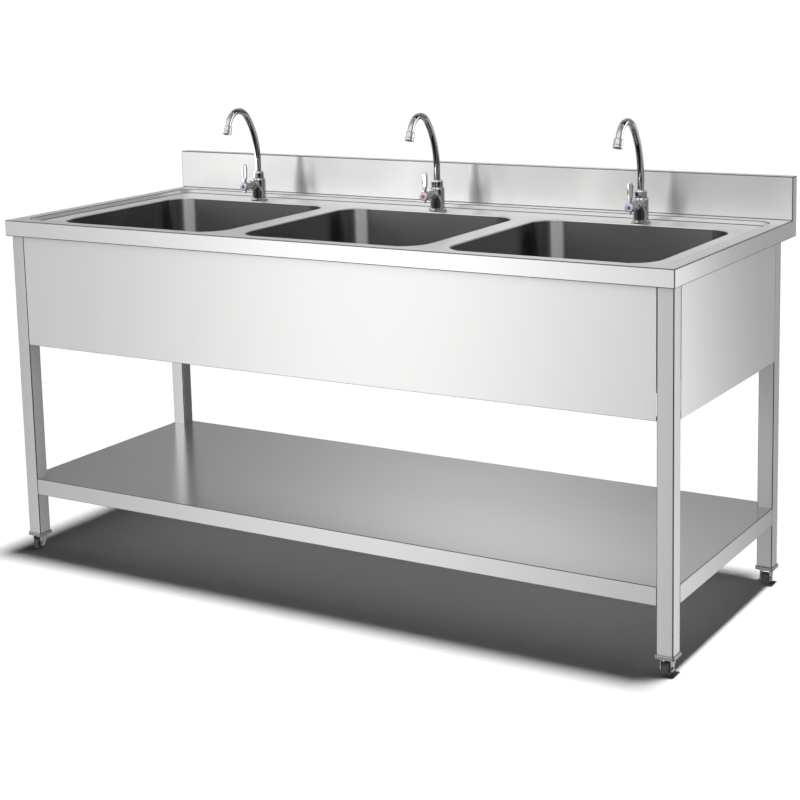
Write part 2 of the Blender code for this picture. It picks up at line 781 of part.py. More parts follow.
def collar_mesh():
    """The nut that holds the spout down."""
    bore = TUBE_RADIUS + RUNNING_GAP
    low, high = BODY_TOP + GAP, COLLAR_TOP
    profile = [
        (bore, low),
        (COLLAR_RADIUS, low),
        (COLLAR_RADIUS, high - COLLAR_CHAMFER),
        (COLLAR_RADIUS - COLLAR_CHAMFER / 2, high),
        (bore, high),
    ]
    return turned(profile, 12, closed=True)


def aerator_mesh():
    """A sleeve over the end of the tube with a narrower outlet, about Z with its outlet at the bottom."""
    bore = TUBE_RADIUS + GAP
    chamfer = 0.001
    outlet = AERATOR_OVERLAP - AERATOR_LENGTH
    profile = [
        (bore, AERATOR_OVERLAP),
        (AERATOR_RADIUS, AERATOR_OVERLAP),
        (AERATOR_RADIUS, outlet + chamfer),
        (AERATOR_RADIUS - chamfer, outlet),
        (AERATOR_BORE, outlet),
        (AERATOR_BORE, -GAP),
        (bore, -GAP),
    ]
    return turned(profile, 12, closed=True)


def lever_mesh():
    """Hub about Y with a flat upright lever on a tapered neck, and a short nub below."""
    middle = -HUB_LENGTH / 2
    half_width, half_thickness = LEVER_WIDTH / 2, LEVER_THICKNESS / 2
    hub = turned_along_y(
        [
            (0, 0),
            (HUB_RADIUS, 0),
            (HUB_RADIUS, HUB_LENGTH - HUB_CHAMFER),
            (HUB_RADIUS - HUB_CHAMFER, HUB_LENGTH),
            (0, HUB_LENGTH),
        ],
        12,
    )
    neck = turned(
        [
            (0, 0),
            (NECK_RADIUS, 0),
            (NECK_WAIST_RADIUS, NECK_WAIST),
            (NECK_RADIUS, NECK_TOP),
            (0, NECK_TOP),
        ],
        8,
    )
    blade_foot = (NECK_WAIST + NECK_TOP) / 2
    blade = box((-half_width, -half_thickness, blade_foot), (half_width, half_thickness, LEVER_LENGTH))
    nub = turned(
        [
            (0, 0),
            (NUB_RADIUS, 0),
            (NUB_RADIUS, NUB_CHAMFER - NUB_LENGTH),
            (NUB_RADIUS / 2, -NUB_LENGTH),
            (0, -NUB_LENGTH),
        ],
        8,
    )
    to_middle = Matrix.Translation((0, middle, 0))
    arms = (neck, soft_edges(blade, LEVER_EDGE, segments=1), nub)
    return union(hub, *(moved(arm, to_middle) for arm in arms))


def index_mesh():
    """The round cap on the hub's end."""
    profile = [
        (0, 0),
        (INDEX_RADIUS, 0),
        (INDEX_RADIUS, INDEX_THICKNESS - INDEX_CHAMFER / 2),
        (INDEX_RADIUS - INDEX_CHAMFER, INDEX_THICKNESS),
        (0, INDEX_THICKNESS),
    ]
    return turned_along_y(profile, 12)


def locknut_mesh():
    """A hexagon nut on the shank, against the underside of the deck."""
    high = -SHEET - GAP
    low = high - LOCKNUT_HEIGHT
    bore = rod(SHANK_RADIUS + THREAD_CLEARANCE, low - OVERSHOOT, high + OVERSHOOT, 16)
    return cut(rod(LOCKNUT_CORNER, low, high, 6), bore)


def add_taps(finishes):
    chrome = finishes["chrome"]
    path = spout_path()
    body, spout, collar, aerator = tap_body_mesh(), spout_mesh(path), collar_mesh(), aerator_mesh()
    lever, locknut = lever_mesh(), locknut_mesh()
    for side, x in SIDES.items():
        base = (x, TAP_Y, DECK_TOP)
        put(f"tap_body_{side}", body, chrome, location=base)
        put(f"tap_locknut_{side}", locknut, finishes["zinc"], location=base)
        put(f"tap_collar_{side}", collar, chrome, location=base)
        swivel = pivot(f"spout_swivel_{side}", base)
        put(f"tap_spout_{side}", spout, chrome, parent=swivel)
        tilt = NOZZLE_ANGLE - math.pi
        put(f"tap_aerator_{side}", aerator, chrome, location=path[-1], rotation=(tilt, 0, 0), parent=swivel)
        hub = (x, TAP_Y - STEM_END - GAP, DECK_TOP + STEM_HEIGHT)
        turn = pivot(f"lever_turn_{side}", hub)
        put(f"tap_lever_{side}", lever, chrome, parent=turn)
        colour = finishes["red_index" if side == "middle" else "blue_index"]
        put(f"tap_index_{side}", index_mesh(), colour, location=(0, -HUB_LENGTH - GAP, 0), parent=turn)


# ---------------------------------------------------------------- drains


def strainer_mesh():
    """Flange, throat and tailpiece in one turning, open all the way down."""
    flange_high = GAP + DRAIN_FLANGE_THICKNESS
    throat_foot = -THROAT_DEPTH - THROAT_FLOOR
    wall = TAIL_OUTER - TAIL_INNER
    profile = [
        (THROAT_INNER, flange_high - DRAIN_FLANGE_THICKNESS / 4),
        (DRAIN_FLANGE - FLANGE_BEVEL, flange_high),
        (DRAIN_FLANGE, GAP),
        (THROAT_OUTER, GAP),
        (THROAT_OUTER, -THROAT_DEPTH),
        (TAIL_OUTER, throat_foot),
        (TAIL_OUTER, -TAIL_DEPTH),
        (TAIL_INNER, -TAIL_DEPTH),
        (TAIL_INNER, throat_foot + wall),
        (THROAT_INNER, -THROAT_DEPTH + wall),
    ]
    return turned(profile, 20, closed=True)


def basket_mesh():
    """A shallow cup with a centre post and a pull knob."""
    foot = BASKET_TOP - BASKET_DEPTH
    profile = [
        (0, KNOB_HEIGHT),
        (KNOB_RADIUS, KNOB_HEIGHT),
        (KNOB_RADIUS, KNOB_HEIGHT - KNOB_EDGE),
        (POST_RADIUS, KNOB_HEIGHT - KNOB_EDGE - KNOB_UNDERCUT),
        (POST_RADIUS, foot + BASKET_WALL),
        (BASKET_FLOOR_RADIUS - BASKET_WALL, foot + BASKET_WALL),
        (BASKET_RADIUS - BASKET_LIP, BASKET_TOP),
        (BASKET_RADIUS, BASKET_TOP),
        (BASKET_RADIUS, BASKET_TOP - BASKET_WALL),
        (BASKET_FLOOR_RADIUS, foot),
        (0, foot),
    ]
    return turned(profile, 20)


def drain_nut_mesh():
    """The round nut that clamps the strainer to the bowl's floor."""
    high = -SHEET - GAP
    low = high - NUT_HEIGHT
    return turned([(NUT_INNER, high), (NUT_OUTER, high), (NUT_OUTER, low), (NUT_INNER, low)], 20, closed=True)


def add_drains(finishes):
    strainer, basket, nut = strainer_mesh(), basket_mesh(), drain_nut_mesh()
    for side, x in SIDES.items():
        floor = (x, BOWL_CENTRE_Y, FLOOR_TOP)
        put(f"drain_strainer_{side}", strainer, finishes["chrome"], location=floor)
        put(f"drain_basket_{side}", basket, finishes["chrome"], location=floor)
        put(f"drain_nut_{side}", nut, finishes["zinc"], location=floor)


# ---------------------------------------------------------------- assembly


def main():
    for old in list(bpy.data.objects):
        bpy.data.objects.remove(old)
    finishes = make_materials()
    add_worktop(finishes)
    add_frame(finishes)
    add_casters(finishes)
    add_taps(finishes)
    add_drains(finishes)


main()
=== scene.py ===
import json
from math import atan2, copysign, cos, pi, radians, sin, tan, tau

import bmesh
import bpy
from mathutils import Matrix, Vector

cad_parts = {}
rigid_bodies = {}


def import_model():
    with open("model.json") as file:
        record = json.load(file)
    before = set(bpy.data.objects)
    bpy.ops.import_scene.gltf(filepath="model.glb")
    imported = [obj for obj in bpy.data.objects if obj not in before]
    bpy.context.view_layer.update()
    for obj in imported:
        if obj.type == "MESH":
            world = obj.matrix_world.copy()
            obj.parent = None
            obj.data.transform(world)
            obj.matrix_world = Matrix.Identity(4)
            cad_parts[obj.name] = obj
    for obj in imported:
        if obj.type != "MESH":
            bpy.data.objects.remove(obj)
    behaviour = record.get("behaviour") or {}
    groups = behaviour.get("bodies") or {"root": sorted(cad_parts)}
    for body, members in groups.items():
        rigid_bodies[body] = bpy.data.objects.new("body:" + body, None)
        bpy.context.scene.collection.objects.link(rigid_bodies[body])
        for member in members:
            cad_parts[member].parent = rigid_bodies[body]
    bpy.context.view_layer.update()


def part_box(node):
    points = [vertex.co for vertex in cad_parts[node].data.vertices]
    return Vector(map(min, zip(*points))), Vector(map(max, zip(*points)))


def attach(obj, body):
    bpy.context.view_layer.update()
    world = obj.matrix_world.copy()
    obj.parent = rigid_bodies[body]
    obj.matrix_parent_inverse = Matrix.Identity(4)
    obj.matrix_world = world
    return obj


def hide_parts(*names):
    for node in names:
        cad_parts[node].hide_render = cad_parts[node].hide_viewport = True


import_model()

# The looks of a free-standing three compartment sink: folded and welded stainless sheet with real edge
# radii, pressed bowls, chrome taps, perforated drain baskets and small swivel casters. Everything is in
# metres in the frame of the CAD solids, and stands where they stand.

SCENE = bpy.context.scene

SIDES = ("left", "middle", "right")
CORNERS = ("front_left", "front_right", "back_left", "back_right")
GAP = 0.0003
SHEET = 0.0012
THIN_SHEET = 0.001

# Worktop
SPLASH_DEPTH = 0.028
RIM_FOLD = 0.04
RIM_RETURN = 0.0055
RIM_BAND = 0.034
BACK_BAND = 0.031
DECK_DROP = 0.01
SLOPE_RUN = 0.011
DECK_CORNER = 0.04
EDGE_RADIUS = 0.002
ROLL_RADIUS = 0.003  # of the deck's edges, which roll down into the bowls

# Bowls
BOWL_FLANGE = 0.008
BOWL_CORNER = 0.07
BOWL_DRAFT = 0.008
BOWL_FOOT = 0.03
FLOOR_FALL = 0.004
ROUND_STEPS = 20  # facets in each round corner seen from above
DRAIN_HOLE = 0.045
DRAIN_FLANGE = 0.056
FLOOR_LEVEL_RIM = 0.006

# Drains: heights are above the bowl's floor
STRAINER_TOP = 0.0023
STRAINER_BORE = 0.042
THROAT_RADIUS = 0.0435
TAILPIECE_RADIUS = 0.02
TAILPIECE_BORE = 0.018
TAILPIECE_FOOT = -0.058
DRAIN_NUT_BORE = 0.0443
DRAIN_NUT_RADIUS = 0.055
DRAIN_NUT_HEIGHT = 0.01
BASKET_RIM = 0.0405
BASKET_FOOT = 0.0325
BASKET_TOP = -0.001
BASKET_FLOOR = -0.0262
BASKET_COLUMNS = 20
BASKET_HUB = 0.0085
BASKET_SHEET = 0.0007

# Frame
LEG_RADIUS = 0.003
LEG_WALL = 0.0012
APRON_RETURN = 0.018
APRON_LIP = 0.006
APRON_BEND = 0.0015
SEAM = 0.0004  # how far a panel stops short of each leg
SHELF_RETURN = 0.012
STIFFENER_BRIM = 0.02
STIFFENER_BEND = 0.002

# Casters
CAP_CORNER = 0.005
WHEEL_TRAIL = 0.006
CHEEK_INNER = 0.0103
CHEEK_OUTER = 0.0125
CHEEK_FOOT = 0.0065
FORK_HALF = 0.013
CROWN_THICKNESS = 0.003
FORK_STEM_RADIUS = 0.004
FORK_STEM_LENGTH = 0.018
RIM_RADIUS = 0.0092
AXLE_RADIUS = 0.0025
AXLE_HEX = 0.0092

# Taps: heights are above the deck
BASE_RADIUS = 0.0235
BODY_RADIUS = 0.0185
BODY_TOP = 0.062
SHANK_RADIUS = 0.0105
SHANK_LENGTH = 0.045
LOCKNUT_HEX = 0.031
LOCKNUT_WASHER = 0.0152
LOCKNUT_HEIGHT = 0.007
COLLAR_RADIUS = 0.015
COLLAR_TOP = 0.08
COLLAR_FLATS = 12
TUBE_RADIUS = 0.0082
TUBE_WALL = 0.0012
TUBE_SEAT = 0.05
RISE_TOP = 0.1095
SWEEP_RADIUS = 0.19
SWEEP_ANGLE = radians(40)
HOOK_RADIUS = 0.048
NOZZLE_ANGLE = radians(160)
NOZZLE_RUN = 0.016
AERATOR_RADIUS = 0.012
AERATOR_OVERLAP = 0.011
AERATOR_LENGTH = 0.022
STEM_HEIGHT = 0.045
BOSS_RADIUS = 0.0125
STEM_RADIUS = 0.009
STEM_END = 0.054
BONNET_HEX = 0.0275
HUB_RADIUS = 0.0115
HUB_LENGTH = 0.016
HUB_RECESS = 0.0012  # for the index cap
INDEX_RING_RADIUS = 0.0096
INDEX_DOT_RADIUS = 0.0048
NUB_LENGTH = 0.017

SMOOTH_ANGLE = radians(35)
FOLD_ANGLE = radians(22)  # folds turned further than this from every axis are coloured dark: painted shade along the fold
TINY = 1e-6
FAR = 10.0
ABOVE = Vector((0.0, 0.0, FAR))

WORKTOP_LOW, WORKTOP_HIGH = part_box("worktop")
RIM_TOP = WORKTOP_LOW.z + RIM_FOLD
DECK_TOP = RIM_TOP - DECK_DROP

# Camera and light
CAMERA_PLACE = Vector((2.184, -3.54, 1.461))
CAMERA_TURNS = radians(-31.263), radians(-9.369), radians(-1.312)  # yaw, pitch and roll
CAMERA_LENS = 77.6
CAMERA_SHIFT = -0.18
STRIP_TURN = radians(160)
STRIP_LIFT = radians(35)
STRIP_DISTANCE = 2.0
FLOOR_REACH = 30.0
WORLD_SEEN = 1.1
WORLD_DIM = 0.01
WORLD_GREY = 0.41
# What the metals reflect on top of the even grey: the azimuth (0 is +Y, 90 is +X) and elevation of each
# lobe's middle, its sharpness and its strength. One with no elevation is an upright band, the same at every
# height, and one with a strength below 0 darkens.
WORLD_LOBES = (
    (-147, None, 160, 1.25), (-150, 32, 10, 0.95), (-166, None, 100, 0.12), (180, None, 40, 0.24),
    (90, None, 40, 0.2), (0, None, 40, 0.18), (-100, None, 6, 0.4), (-72, None, 300, 1.2),
    (66, None, 300, 1.6), (150, 36, 12, 1.6), (148, 0, 10, -0.62), (50, None, 20, -0.46),
    (-50, 12, 60, -0.28), (-31, 8, 100, -0.2), (-29, 27, 150, 1.5), (-22, 14, 200, -0.25),
    (0, 90, 4, -0.2), (0, -90, 4, -0.36),
)


# -------- shader nodes


def feed(tree, value, socket):
    """Links a socket to another node's output, or sets its value."""
    if isinstance(value, bpy.types.NodeSocket):
        tree.links.new(value, socket)
    else:
        socket.default_value = value


def add_node(tree, kind, **inputs):
    """A shader node with some of its inputs fed. From_Min is the input called From Min."""
    made = tree.nodes.new("ShaderNode" + kind)
    for name, value in inputs.items():
        feed(tree, value, made.inputs[name.replace("_", " ")])
    return made


def maths(tree, operation, *operands, kind="Math", output=0):
    """The output of a Math or VectorMath node."""
    made = add_node(tree, kind)
    made.operation = operation
    for operand, socket in zip(operands, made.inputs):
        feed(tree, operand, socket)
    return made.outputs[output]


def mix(tree, factor, first, second, data_type="FLOAT"):
    """The output of a Mix node: the first at factor 0 and the second at 1."""
    made = add_node(tree, "Mix")
    made.data_type = data_type
    for name, value in (("Factor", factor), ("A", first), ("B", second)):
        feed(tree, value, made.inputs[name])
    return made.outputs["Result"]


# -------- camera, light and floor


def add_object(name, data):
    made = bpy.data.objects.new(name, data)
    SCENE.collection.objects.link(made)
    return made


def add_camera():
    """The photograph's angle: from the front right, a little above the unit."""
    yaw, pitch, roll = CAMERA_TURNS
    forward = Vector((sin(yaw) * cos(pitch), cos(yaw) * cos(pitch), sin(pitch)))
    level = Vector((cos(yaw), -sin(yaw), 0.0))
    upright = level.cross(forward)
    right = cos(roll) * level + sin(roll) * upright
    up = cos(roll) * upright - sin(roll) * level
    axes = Matrix((right, up, -forward)).transposed().to_4x4()
    camera = add_object("camera", bpy.data.cameras.new("camera"))
    camera.data.lens = CAMERA_LENS
    camera.data.shift_y = CAMERA_SHIFT
    camera.data.clip_end = 100
    camera.matrix_world = Matrix.Translation(CAMERA_PLACE) @ axes
    SCENE.camera = camera


def add_world():
    """White studio: bright to look at and to reflect, with soft bands, and dim as a source of light."""
    world = bpy.data.worlds.new("studio")
    SCENE.world = world
    world.use_nodes = True
    tree = world.node_tree
    tree.nodes.clear()
    direction = add_node(tree, "TexCoord").outputs["Generated"]
    flattened = maths(tree, "MULTIPLY", direction, (1, 1, 0), kind="VectorMath")
    level = maths(tree, "NORMALIZE", flattened, kind="VectorMath")

    def lobe(azimuth, elevation, sharpness):
        """1 towards the lobe's middle, falling off smoothly away from it."""
        turn, tilt = radians(azimuth), radians(elevation or 0)
        middle = (sin(turn) * cos(tilt), cos(turn) * cos(tilt), sin(tilt))
        looking = level if elevation is None else direction
        cosine = maths(tree, "DOT_PRODUCT", looking, middle, kind="VectorMath", output="Value")
        return maths(tree, "POWER", maths(tree, "MAXIMUM", cosine, 0.0), sharpness)

    reflected = WORLD_GREY
    for azimuth, elevation, sharpness, strength in WORLD_LOBES:
        reflected = maths(tree, "MULTIPLY_ADD", lobe(azimuth, elevation, sharpness), strength, reflected)
    reflected = maths(tree, "MAXIMUM", reflected, WORLD_DIM)
    rays = add_node(tree, "LightPath").outputs
    for_metals = mix(tree, rays["Is Glossy Ray"], WORLD_DIM, reflected)
    for_all = mix(tree, rays["Is Camera Ray"], for_metals, WORLD_SEEN)
    background = add_node(tree, "Background", Color=(1, 1, 1, 1), Strength=for_all)
    add_node(tree, "OutputWorld", Surface=background.outputs[0])


def add_sun(name, strength, spread, tilt_x, tilt_y, turn_z):
    """Sunlight that the metals don't mirror; its spread and its turns are in degrees."""
    sun = add_object(name, bpy.data.lights.new(name, "SUN"))
    sun.data.energy = strength
    sun.data.angle = radians(spread)
    sun.rotation_euler = [radians(turn) for turn in (tilt_x, tilt_y, turn_z)]
    sun.visible_glossy = False
    return sun


def add_softbox(name, centre, target, size, radiance):
    """A white panel that only polished and brushed surfaces reflect."""
    made = add_object(name, bpy.data.lights.new(name, "AREA"))
    made.data.shape = "RECTANGLE"
    made.data.size, made.data.size_y = size
    made.data.energy = radiance * pi * size[0] * size[1]
    made.location = centre
    made.rotation_euler = (Vector(target) - Vector(centre)).to_track_quat("-Z", "Y").to_euler()
    made.visible_camera = False
    made.visible_diffuse = False
    return made


def light_only(light, pieces):
    """Lets a light reach only some pieces."""
    reached = bpy.data.collections.new(light.name)
    for made in pieces:
        reached.objects.link(made)
    light.light_linking.receiver_collection = reached
    return reached


def add_lights():
    """Hard light from above, which casts the shadow, and a softbox behind on the right."""
    add_sun("overhead_light", 4.1, 6, -4, 3, 0)
    add_softbox("side_panel_light", (2.72, 2.5, 0.2), (0.9, -0.2, 0.2), (1.3, 4.4), 1.4)


def add_front_fill():
    """Lights painted and moulded parts from the front, but neither the floor nor the metals' reflections."""
    not_lit = light_only(add_sun("front_fill", 2.0, 40, 62, 0, 28), [bpy.data.objects["floor"]])
    not_lit.collection_objects[0].light_linking.link_state = "EXCLUDE"


def add_tap_strips():
    """White strips that give the chrome its bright edges; only the taps are lit by them."""
    taps = [made for made in SCENE.objects if made.name.startswith("tap_")]
    above_deck = (0.0, 0.25, 1.0)
    for side, centre, size, radiance in (
        ("left", (-2.7, -0.1, 1.0), (2.0, 1.2), 4.5),
        ("right", (2.6, 2.3, 1.2), (1.8, 1.0), 2.2),
        ("front", (-1.25, -1.95, 0.65), (1.0, 0.6), 4.5),
    ):
        light_only(add_softbox(f"tap_strip_{side}", centre, above_deck, size, radiance), taps)


def add_bowl_strips():
    """A panel above the front of each bowl, for the upright streak of light in its back left corner."""
    level = Vector((sin(STRIP_TURN), cos(STRIP_TURN), 0.0))
    towards = cos(STRIP_LIFT) * level + Vector((0.0, 0.0, sin(STRIP_LIFT)))
    for side in SIDES:
        half_x, half_y, centre = bowl_opening(side)
        corner = Vector((centre[0] - half_x + 0.05, centre[1] + half_y - 0.02, DECK_TOP - 0.07))
        place = corner + STRIP_DISTANCE * towards
        strip = add_softbox(f"bowl_strip_{side}", place, corner, (1.7, 0.9), 14.0)
        light_only(strip, [bpy.data.objects[f"bowl_{side}_pressing"]])


def add_floor():
    """A pale, plain floor."""
    mesh = bpy.data.meshes.new("floor")
    corners = [(x * FLOOR_REACH, y * FLOOR_REACH, 0) for x, y in ((-1, -1), (1, -1), (1, 1), (-1, 1))]
    mesh.from_pydata(corners, [], [(0, 1, 2, 3)])
    finish, _, shader = new_material("floor_white")
    shader.inputs["Base Color"].default_value = (0.78, 0.78, 0.78, 1)
    shader.inputs["Roughness"].default_value = 0.9
    shader.inputs["Specular IOR Level"].default_value = 0.0
    mesh.materials.append(finish)
    floor = add_object("floor", mesh)
    floor.visible_glossy = False


def set_colour():
    settings = SCENE.view_settings
    settings.view_transform = "Standard"
    settings.look = "None"
    settings.exposure = 0.0
    settings.gamma = 1.0


# -------- materials


def new_material(name):
    """A material, its nodes and its shader."""
    made = bpy.data.materials.new(name)
    made.use_nodes = True
    return made, made.node_tree, made.node_tree.nodes["Principled BSDF"]


def mottled(tree, factor, colour, share):
    """A colour that is darker by a share where the factor is 0 and lighter where it is 1."""
    dark = [part * (1 - share) for part in colour]
    light = [min(1.0, part * (1 + share)) for part in colour]
    return mix(tree, factor, (*dark, 1), (*light, 1), "RGBA")


def metal(name, colour, roughness, spread=0.0, grain=(60, 60, 60), grain_across=None, anisotropic=0.0,
          tangent=None, blotch=0.0, bump=0.0, patches=(2.5, 2.5, 2.5)):
    """A bare metal. grain is the scale of its streaks per metre along X, Y and Z, and grain_across the one
    where the surface faces +X or -X. spread varies the roughness and blotch the brightness, along the grain
    and over larger patches."""
    made, tree, shader = new_material(name)
    shader.inputs["Metallic"].default_value = 1.0
    shader.inputs["Anisotropic"].default_value = anisotropic
    place = add_node(tree, "TexCoord").outputs["Object"]

    def noise(scale, detail):
        mapping = add_node(tree, "Mapping", Vector=place, Scale=scale)
        return add_node(tree, "TexNoise", Vector=mapping.outputs[0], Scale=1.0, Detail=detail).outputs["Fac"]

    def remap(value, low, high):
        ends = dict(From_Min=0.3, From_Max=0.7, To_Min=low, To_Max=high)
        return add_node(tree, "MapRange", Value=value, **ends).outputs["Result"]

    fine = noise(grain, 3.0)
    if grain_across:
        normal = add_node(tree, "NewGeometry").outputs["True Normal"]
        across = maths(tree, "ABSOLUTE", add_node(tree, "SeparateXYZ", Vector=normal).outputs["X"])
        fine = mix(tree, maths(tree, "GREATER_THAN", across, 0.7), fine, noise(grain_across, 3.0))
    both = maths(tree, "MULTIPLY_ADD", fine, 0.5, maths(tree, "MULTIPLY", noise(patches, 2.0), 0.5))
    feed(tree, mottled(tree, remap(both, 0.0, 1.0), colour, blotch), shader.inputs["Base Color"])
    feed(tree, remap(both, roughness - spread, roughness + spread), shader.inputs["Roughness"])
    if bump:
        relief = add_node(tree, "Bump", Strength=bump, Distance=0.0002, Height=fine)
        feed(tree, relief.outputs[0], shader.inputs["Normal"])
    if tangent:
        brushed = add_node(tree, "CombineXYZ", X=tangent[0], Y=tangent[1], Z=tangent[2])
        feed(tree, brushed.outputs[0], shader.inputs["Tangent"])
    return made


def moulded(name, colour, roughness, mottle=0.1, scale=400, bump=0.1):
    """Rubber or plastic with a fine texture."""
    made, tree, shader = new_material(name)
    shader.inputs["Metallic"].default_value = 0.0
    shader.inputs["Roughness"].default_value = roughness
    place = add_node(tree, "TexCoord").outputs["Object"]
    texture = add_node(tree, "TexNoise", Vector=place, Scale=scale, Detail=4).outputs["Fac"]
    feed(tree, mottled(tree, texture, colour, mottle), shader.inputs["Base Color"])
    relief = add_node(tree, "Bump", Strength=bump, Distance=0.0003, Height=texture)
    feed(tree, relief.outputs[0], shader.inputs["Normal"])
    return made


# Reflections draw out upwards, and towards the wall on level sheet. Panels are brushed along their length.
UPRIGHT = (0.0, 0.02, 1.0)
BRUSHED = dict(grain=(3, 700, 700), grain_across=(700, 3, 700), tangent=UPRIGHT, blotch=0.012, bump=0.005,
               patches=(14, 14, 0.8))
INDEX = dict(mottle=0.05, scale=300, bump=0.02)

FINISH = {
    "worktop": metal("worktop_steel", (0.76, 0.76, 0.755), 0.31, 0.004, anisotropic=1.0,
                     **(BRUSHED | {"bump": 0.0012})),
    "sheet": metal("sheet_steel", (0.7, 0.7, 0.695), 0.34, 0.012, anisotropic=0.93, **BRUSHED),
    # Dark steel for folds and rounded edges: painted shade lines along them
    "edge": metal("fold_line_painted_shade", (0.14, 0.14, 0.14), 0.42, 0.02, (3, 400, 400), blotch=0.02),
    "shelf": metal("shelf_steel", (0.68, 0.68, 0.675), 0.2, 0.008, anisotropic=0.3,
                   **(BRUSHED | {"grain_across": None, "patches": (3, 9, 3)})),
    # The shelf's flanges: the same steel made darker, as painted shade.
    "flange": metal("flange_steel_painted_shade", (0.57, 0.57, 0.565), 0.34, 0.012, anisotropic=0.93, **BRUSHED),
    "leg": metal("leg_steel", (0.58, 0.58, 0.575), 0.34, 0.012, anisotropic=0.85,
                 **(BRUSHED | {"grain": (700, 700, 3), "grain_across": None, "patches": (20, 20, 0.8)})),
    # The bowls' steel is made very dark: painted shade inside the bowls.
    "bowl": metal("bowl_steel", (0.15, 0.15, 0.15), 0.3, 0.008, (5, 500, 500), (500, 5, 500),
                  anisotropic=0.95, tangent=UPRIGHT, blotch=0.05, bump=0.01),
    "chrome": metal("tap_chrome", (0.46, 0.46, 0.47), 0.04, 0.01, blotch=0.01),
    "drain": metal("drain_steel", (0.7, 0.7, 0.7), 0.16, 0.04, (90, 90, 90), blotch=0.04),
    "zinc": metal("plated_steel", (0.34, 0.34, 0.35), 0.28, 0.06, (160, 160, 160), blotch=0.08, bump=0.1),
    "rubber": moulded("wheel_rubber", (0.045, 0.045, 0.047), 0.55),
    "dark": moulded("dark_plastic", (0.03, 0.03, 0.03), 0.4),
    "blue": moulded("index_blue", (0.1, 0.16, 0.62), 0.22, **INDEX),
    "red": moulded("index_red", (0.68, 0.07, 0.09), 0.22, **INDEX),
    "pearl": moulded("index_ring", (0.86, 0.86, 0.88), 0.25, **(INDEX | {"mottle": 0.02})),
}


# -------- lines and rings


def arc_corners(corners, steps=6, closed=False):
    """A 2-D line through corners of (u, v, radius), with each corner rounded to its radius."""
    line = []
    count = len(corners)
    for i, (u, v, radius) in enumerate(corners):
        here = Vector((u, v))
        if radius == 0 or (not closed and i in (0, count - 1)):
            line.append(here)
            continue
        before = (Vector(corners[i - 1][:2]) - here).normalized()
        after = (Vector(corners[(i + 1) % count][:2]) - here).normalized()
        half = before.angle(after) / 2
        centre = here + (before + after).normalized() * radius / sin(half)
        start = here + before * radius / tan(half) - centre
        turn = pi - 2 * half
        if start.x * before.y - start.y * before.x > 0:
            turn = -turn
        for step in range(steps + 1):
            angle = turn * step / steps
            x = start.x * cos(angle) - start.y * sin(angle)
            y = start.x * sin(angle) + start.y * cos(angle)
            line.append(centre + Vector((x, y)))
    return line


def rounded_rectangle(half_x, half_y, radius, z, steps=ROUND_STEPS, centre=(0.0, 0.0)):
    """A level ring round a rectangle with round corners, with as many points at every size."""
    points = []
    for corner in range(4):
        middle_x = centre[0] + (1 if corner in (0, 3) else -1) * (half_x - radius)
        middle_y = centre[1] + (1 if corner in (0, 1) else -1) * (half_y - radius)
        for step in range(steps + 1):
            angle = pi / 2 * (corner + step / steps)
            points.append(Vector((middle_x + radius * cos(angle), middle_y + radius * sin(angle), z)))
    return points


def full_turn(count):
    """Evenly spaced angles all the way round."""
    return [tau * i / count for i in range(count)]


def round_ring(radius, z, count):
    return [polar(radius, angle, z) for angle in full_turn(count)]


def polar(radius, angle, z):
    return Vector((radius * cos(angle), radius * sin(angle), z))


def polar_ring(points, z):
    """A level ring through points given as (radius, angle)."""
    return [polar(radius, angle, z) for radius, angle in points]


# -------- mesh tools


def to_mesh(bm):
    mesh = bpy.data.meshes.new("piece")
    bm.to_mesh(mesh)
    bm.free()
    return mesh


def solid(bm):
    """The mesh of a closed body, with its faces turned outwards."""
    bmesh.ops.recalc_face_normals(bm, faces=bm.faces)
    return to_mesh(bm)


def facing(bm, towards):
    """The mesh of an open skin, turned so that it faces a point."""
    bmesh.ops.recalc_face_normals(bm, faces=bm.faces)
    votes = sum(f.calc_area() * f.normal.dot(towards - f.calc_center_median()) for f in bm.faces)
    if votes < 0:
        bmesh.ops.reverse_faces(bm, faces=bm.faces)
    return to_mesh(bm)


def loft(bm, rings, closed=False, capped=False):
    """Faces between rings with equal numbers of points; a ring may also be a single point, where the faces
    meet. closed joins the last ring to the first one."""
    rows = [[bm.verts.new(point) for point in ring] for ring in rings]
    pairs = list(zip(rows, rows[1:]))
    if closed:
        pairs.append((rows[-1], rows[0]))
    for lower, upper in pairs:
        for i in range(max(len(lower), len(upper))):
            corners = ((lower, i), (lower, i + 1), (upper, i + 1), (upper, i))
            bm.faces.new(list(dict.fromkeys(row[k % len(row)] for row, k in corners)))
    if capped:
        bm.faces.new(rows[0])
        bm.faces.new(rows[-1])
    return rows


def lofted(rings, closed=False, capped=False):
    """A closed body through rings."""
    bm = bmesh.new()
    loft(bm, rings, closed, capped)
    return solid(bm)


def turned(profile, segments, closed=False):
    """A solid of revolution about Z from a line of (radius, z); points on the axis close it."""
    rings = [round_ring(radius, z, segments) if radius > TINY else [(0, 0, z)] for radius, z in profile]
    return lofted(rings, closed)


def revolved(corners, segments, steps=6, closed=False):
    """A solid of revolution about Z from corners of (radius, z, fillet radius)."""
    return turned(arc_corners(corners, steps, closed), segments, closed)


def plug(radius, low, high, segments):
    """A plain cylinder about Z."""
    return turned([(0, low), (radius, low), (radius, high), (0, high)], segments)


def round_edges(bm, edges, radius, segments, **options):
    bmesh.ops.bevel(bm, geom=edges, offset=radius, segments=segments, profile=0.5, affect="EDGES", **options)


def block(low, high, bevel):
    """A box between two corners, with rounded edges."""
    bm = bmesh.new()
    bmesh.ops.create_cube(bm, size=1.0)
    low, high = Vector(low), Vector(high)
    placed = Matrix.Translation((low + high) / 2) @ Matrix.Diagonal((*(high - low), 1.0))
    bmesh.ops.transform(bm, matrix=placed, verts=bm.verts)
    round_edges(bm, bm.edges[:], bevel, 3)
    return to_mesh(bm)


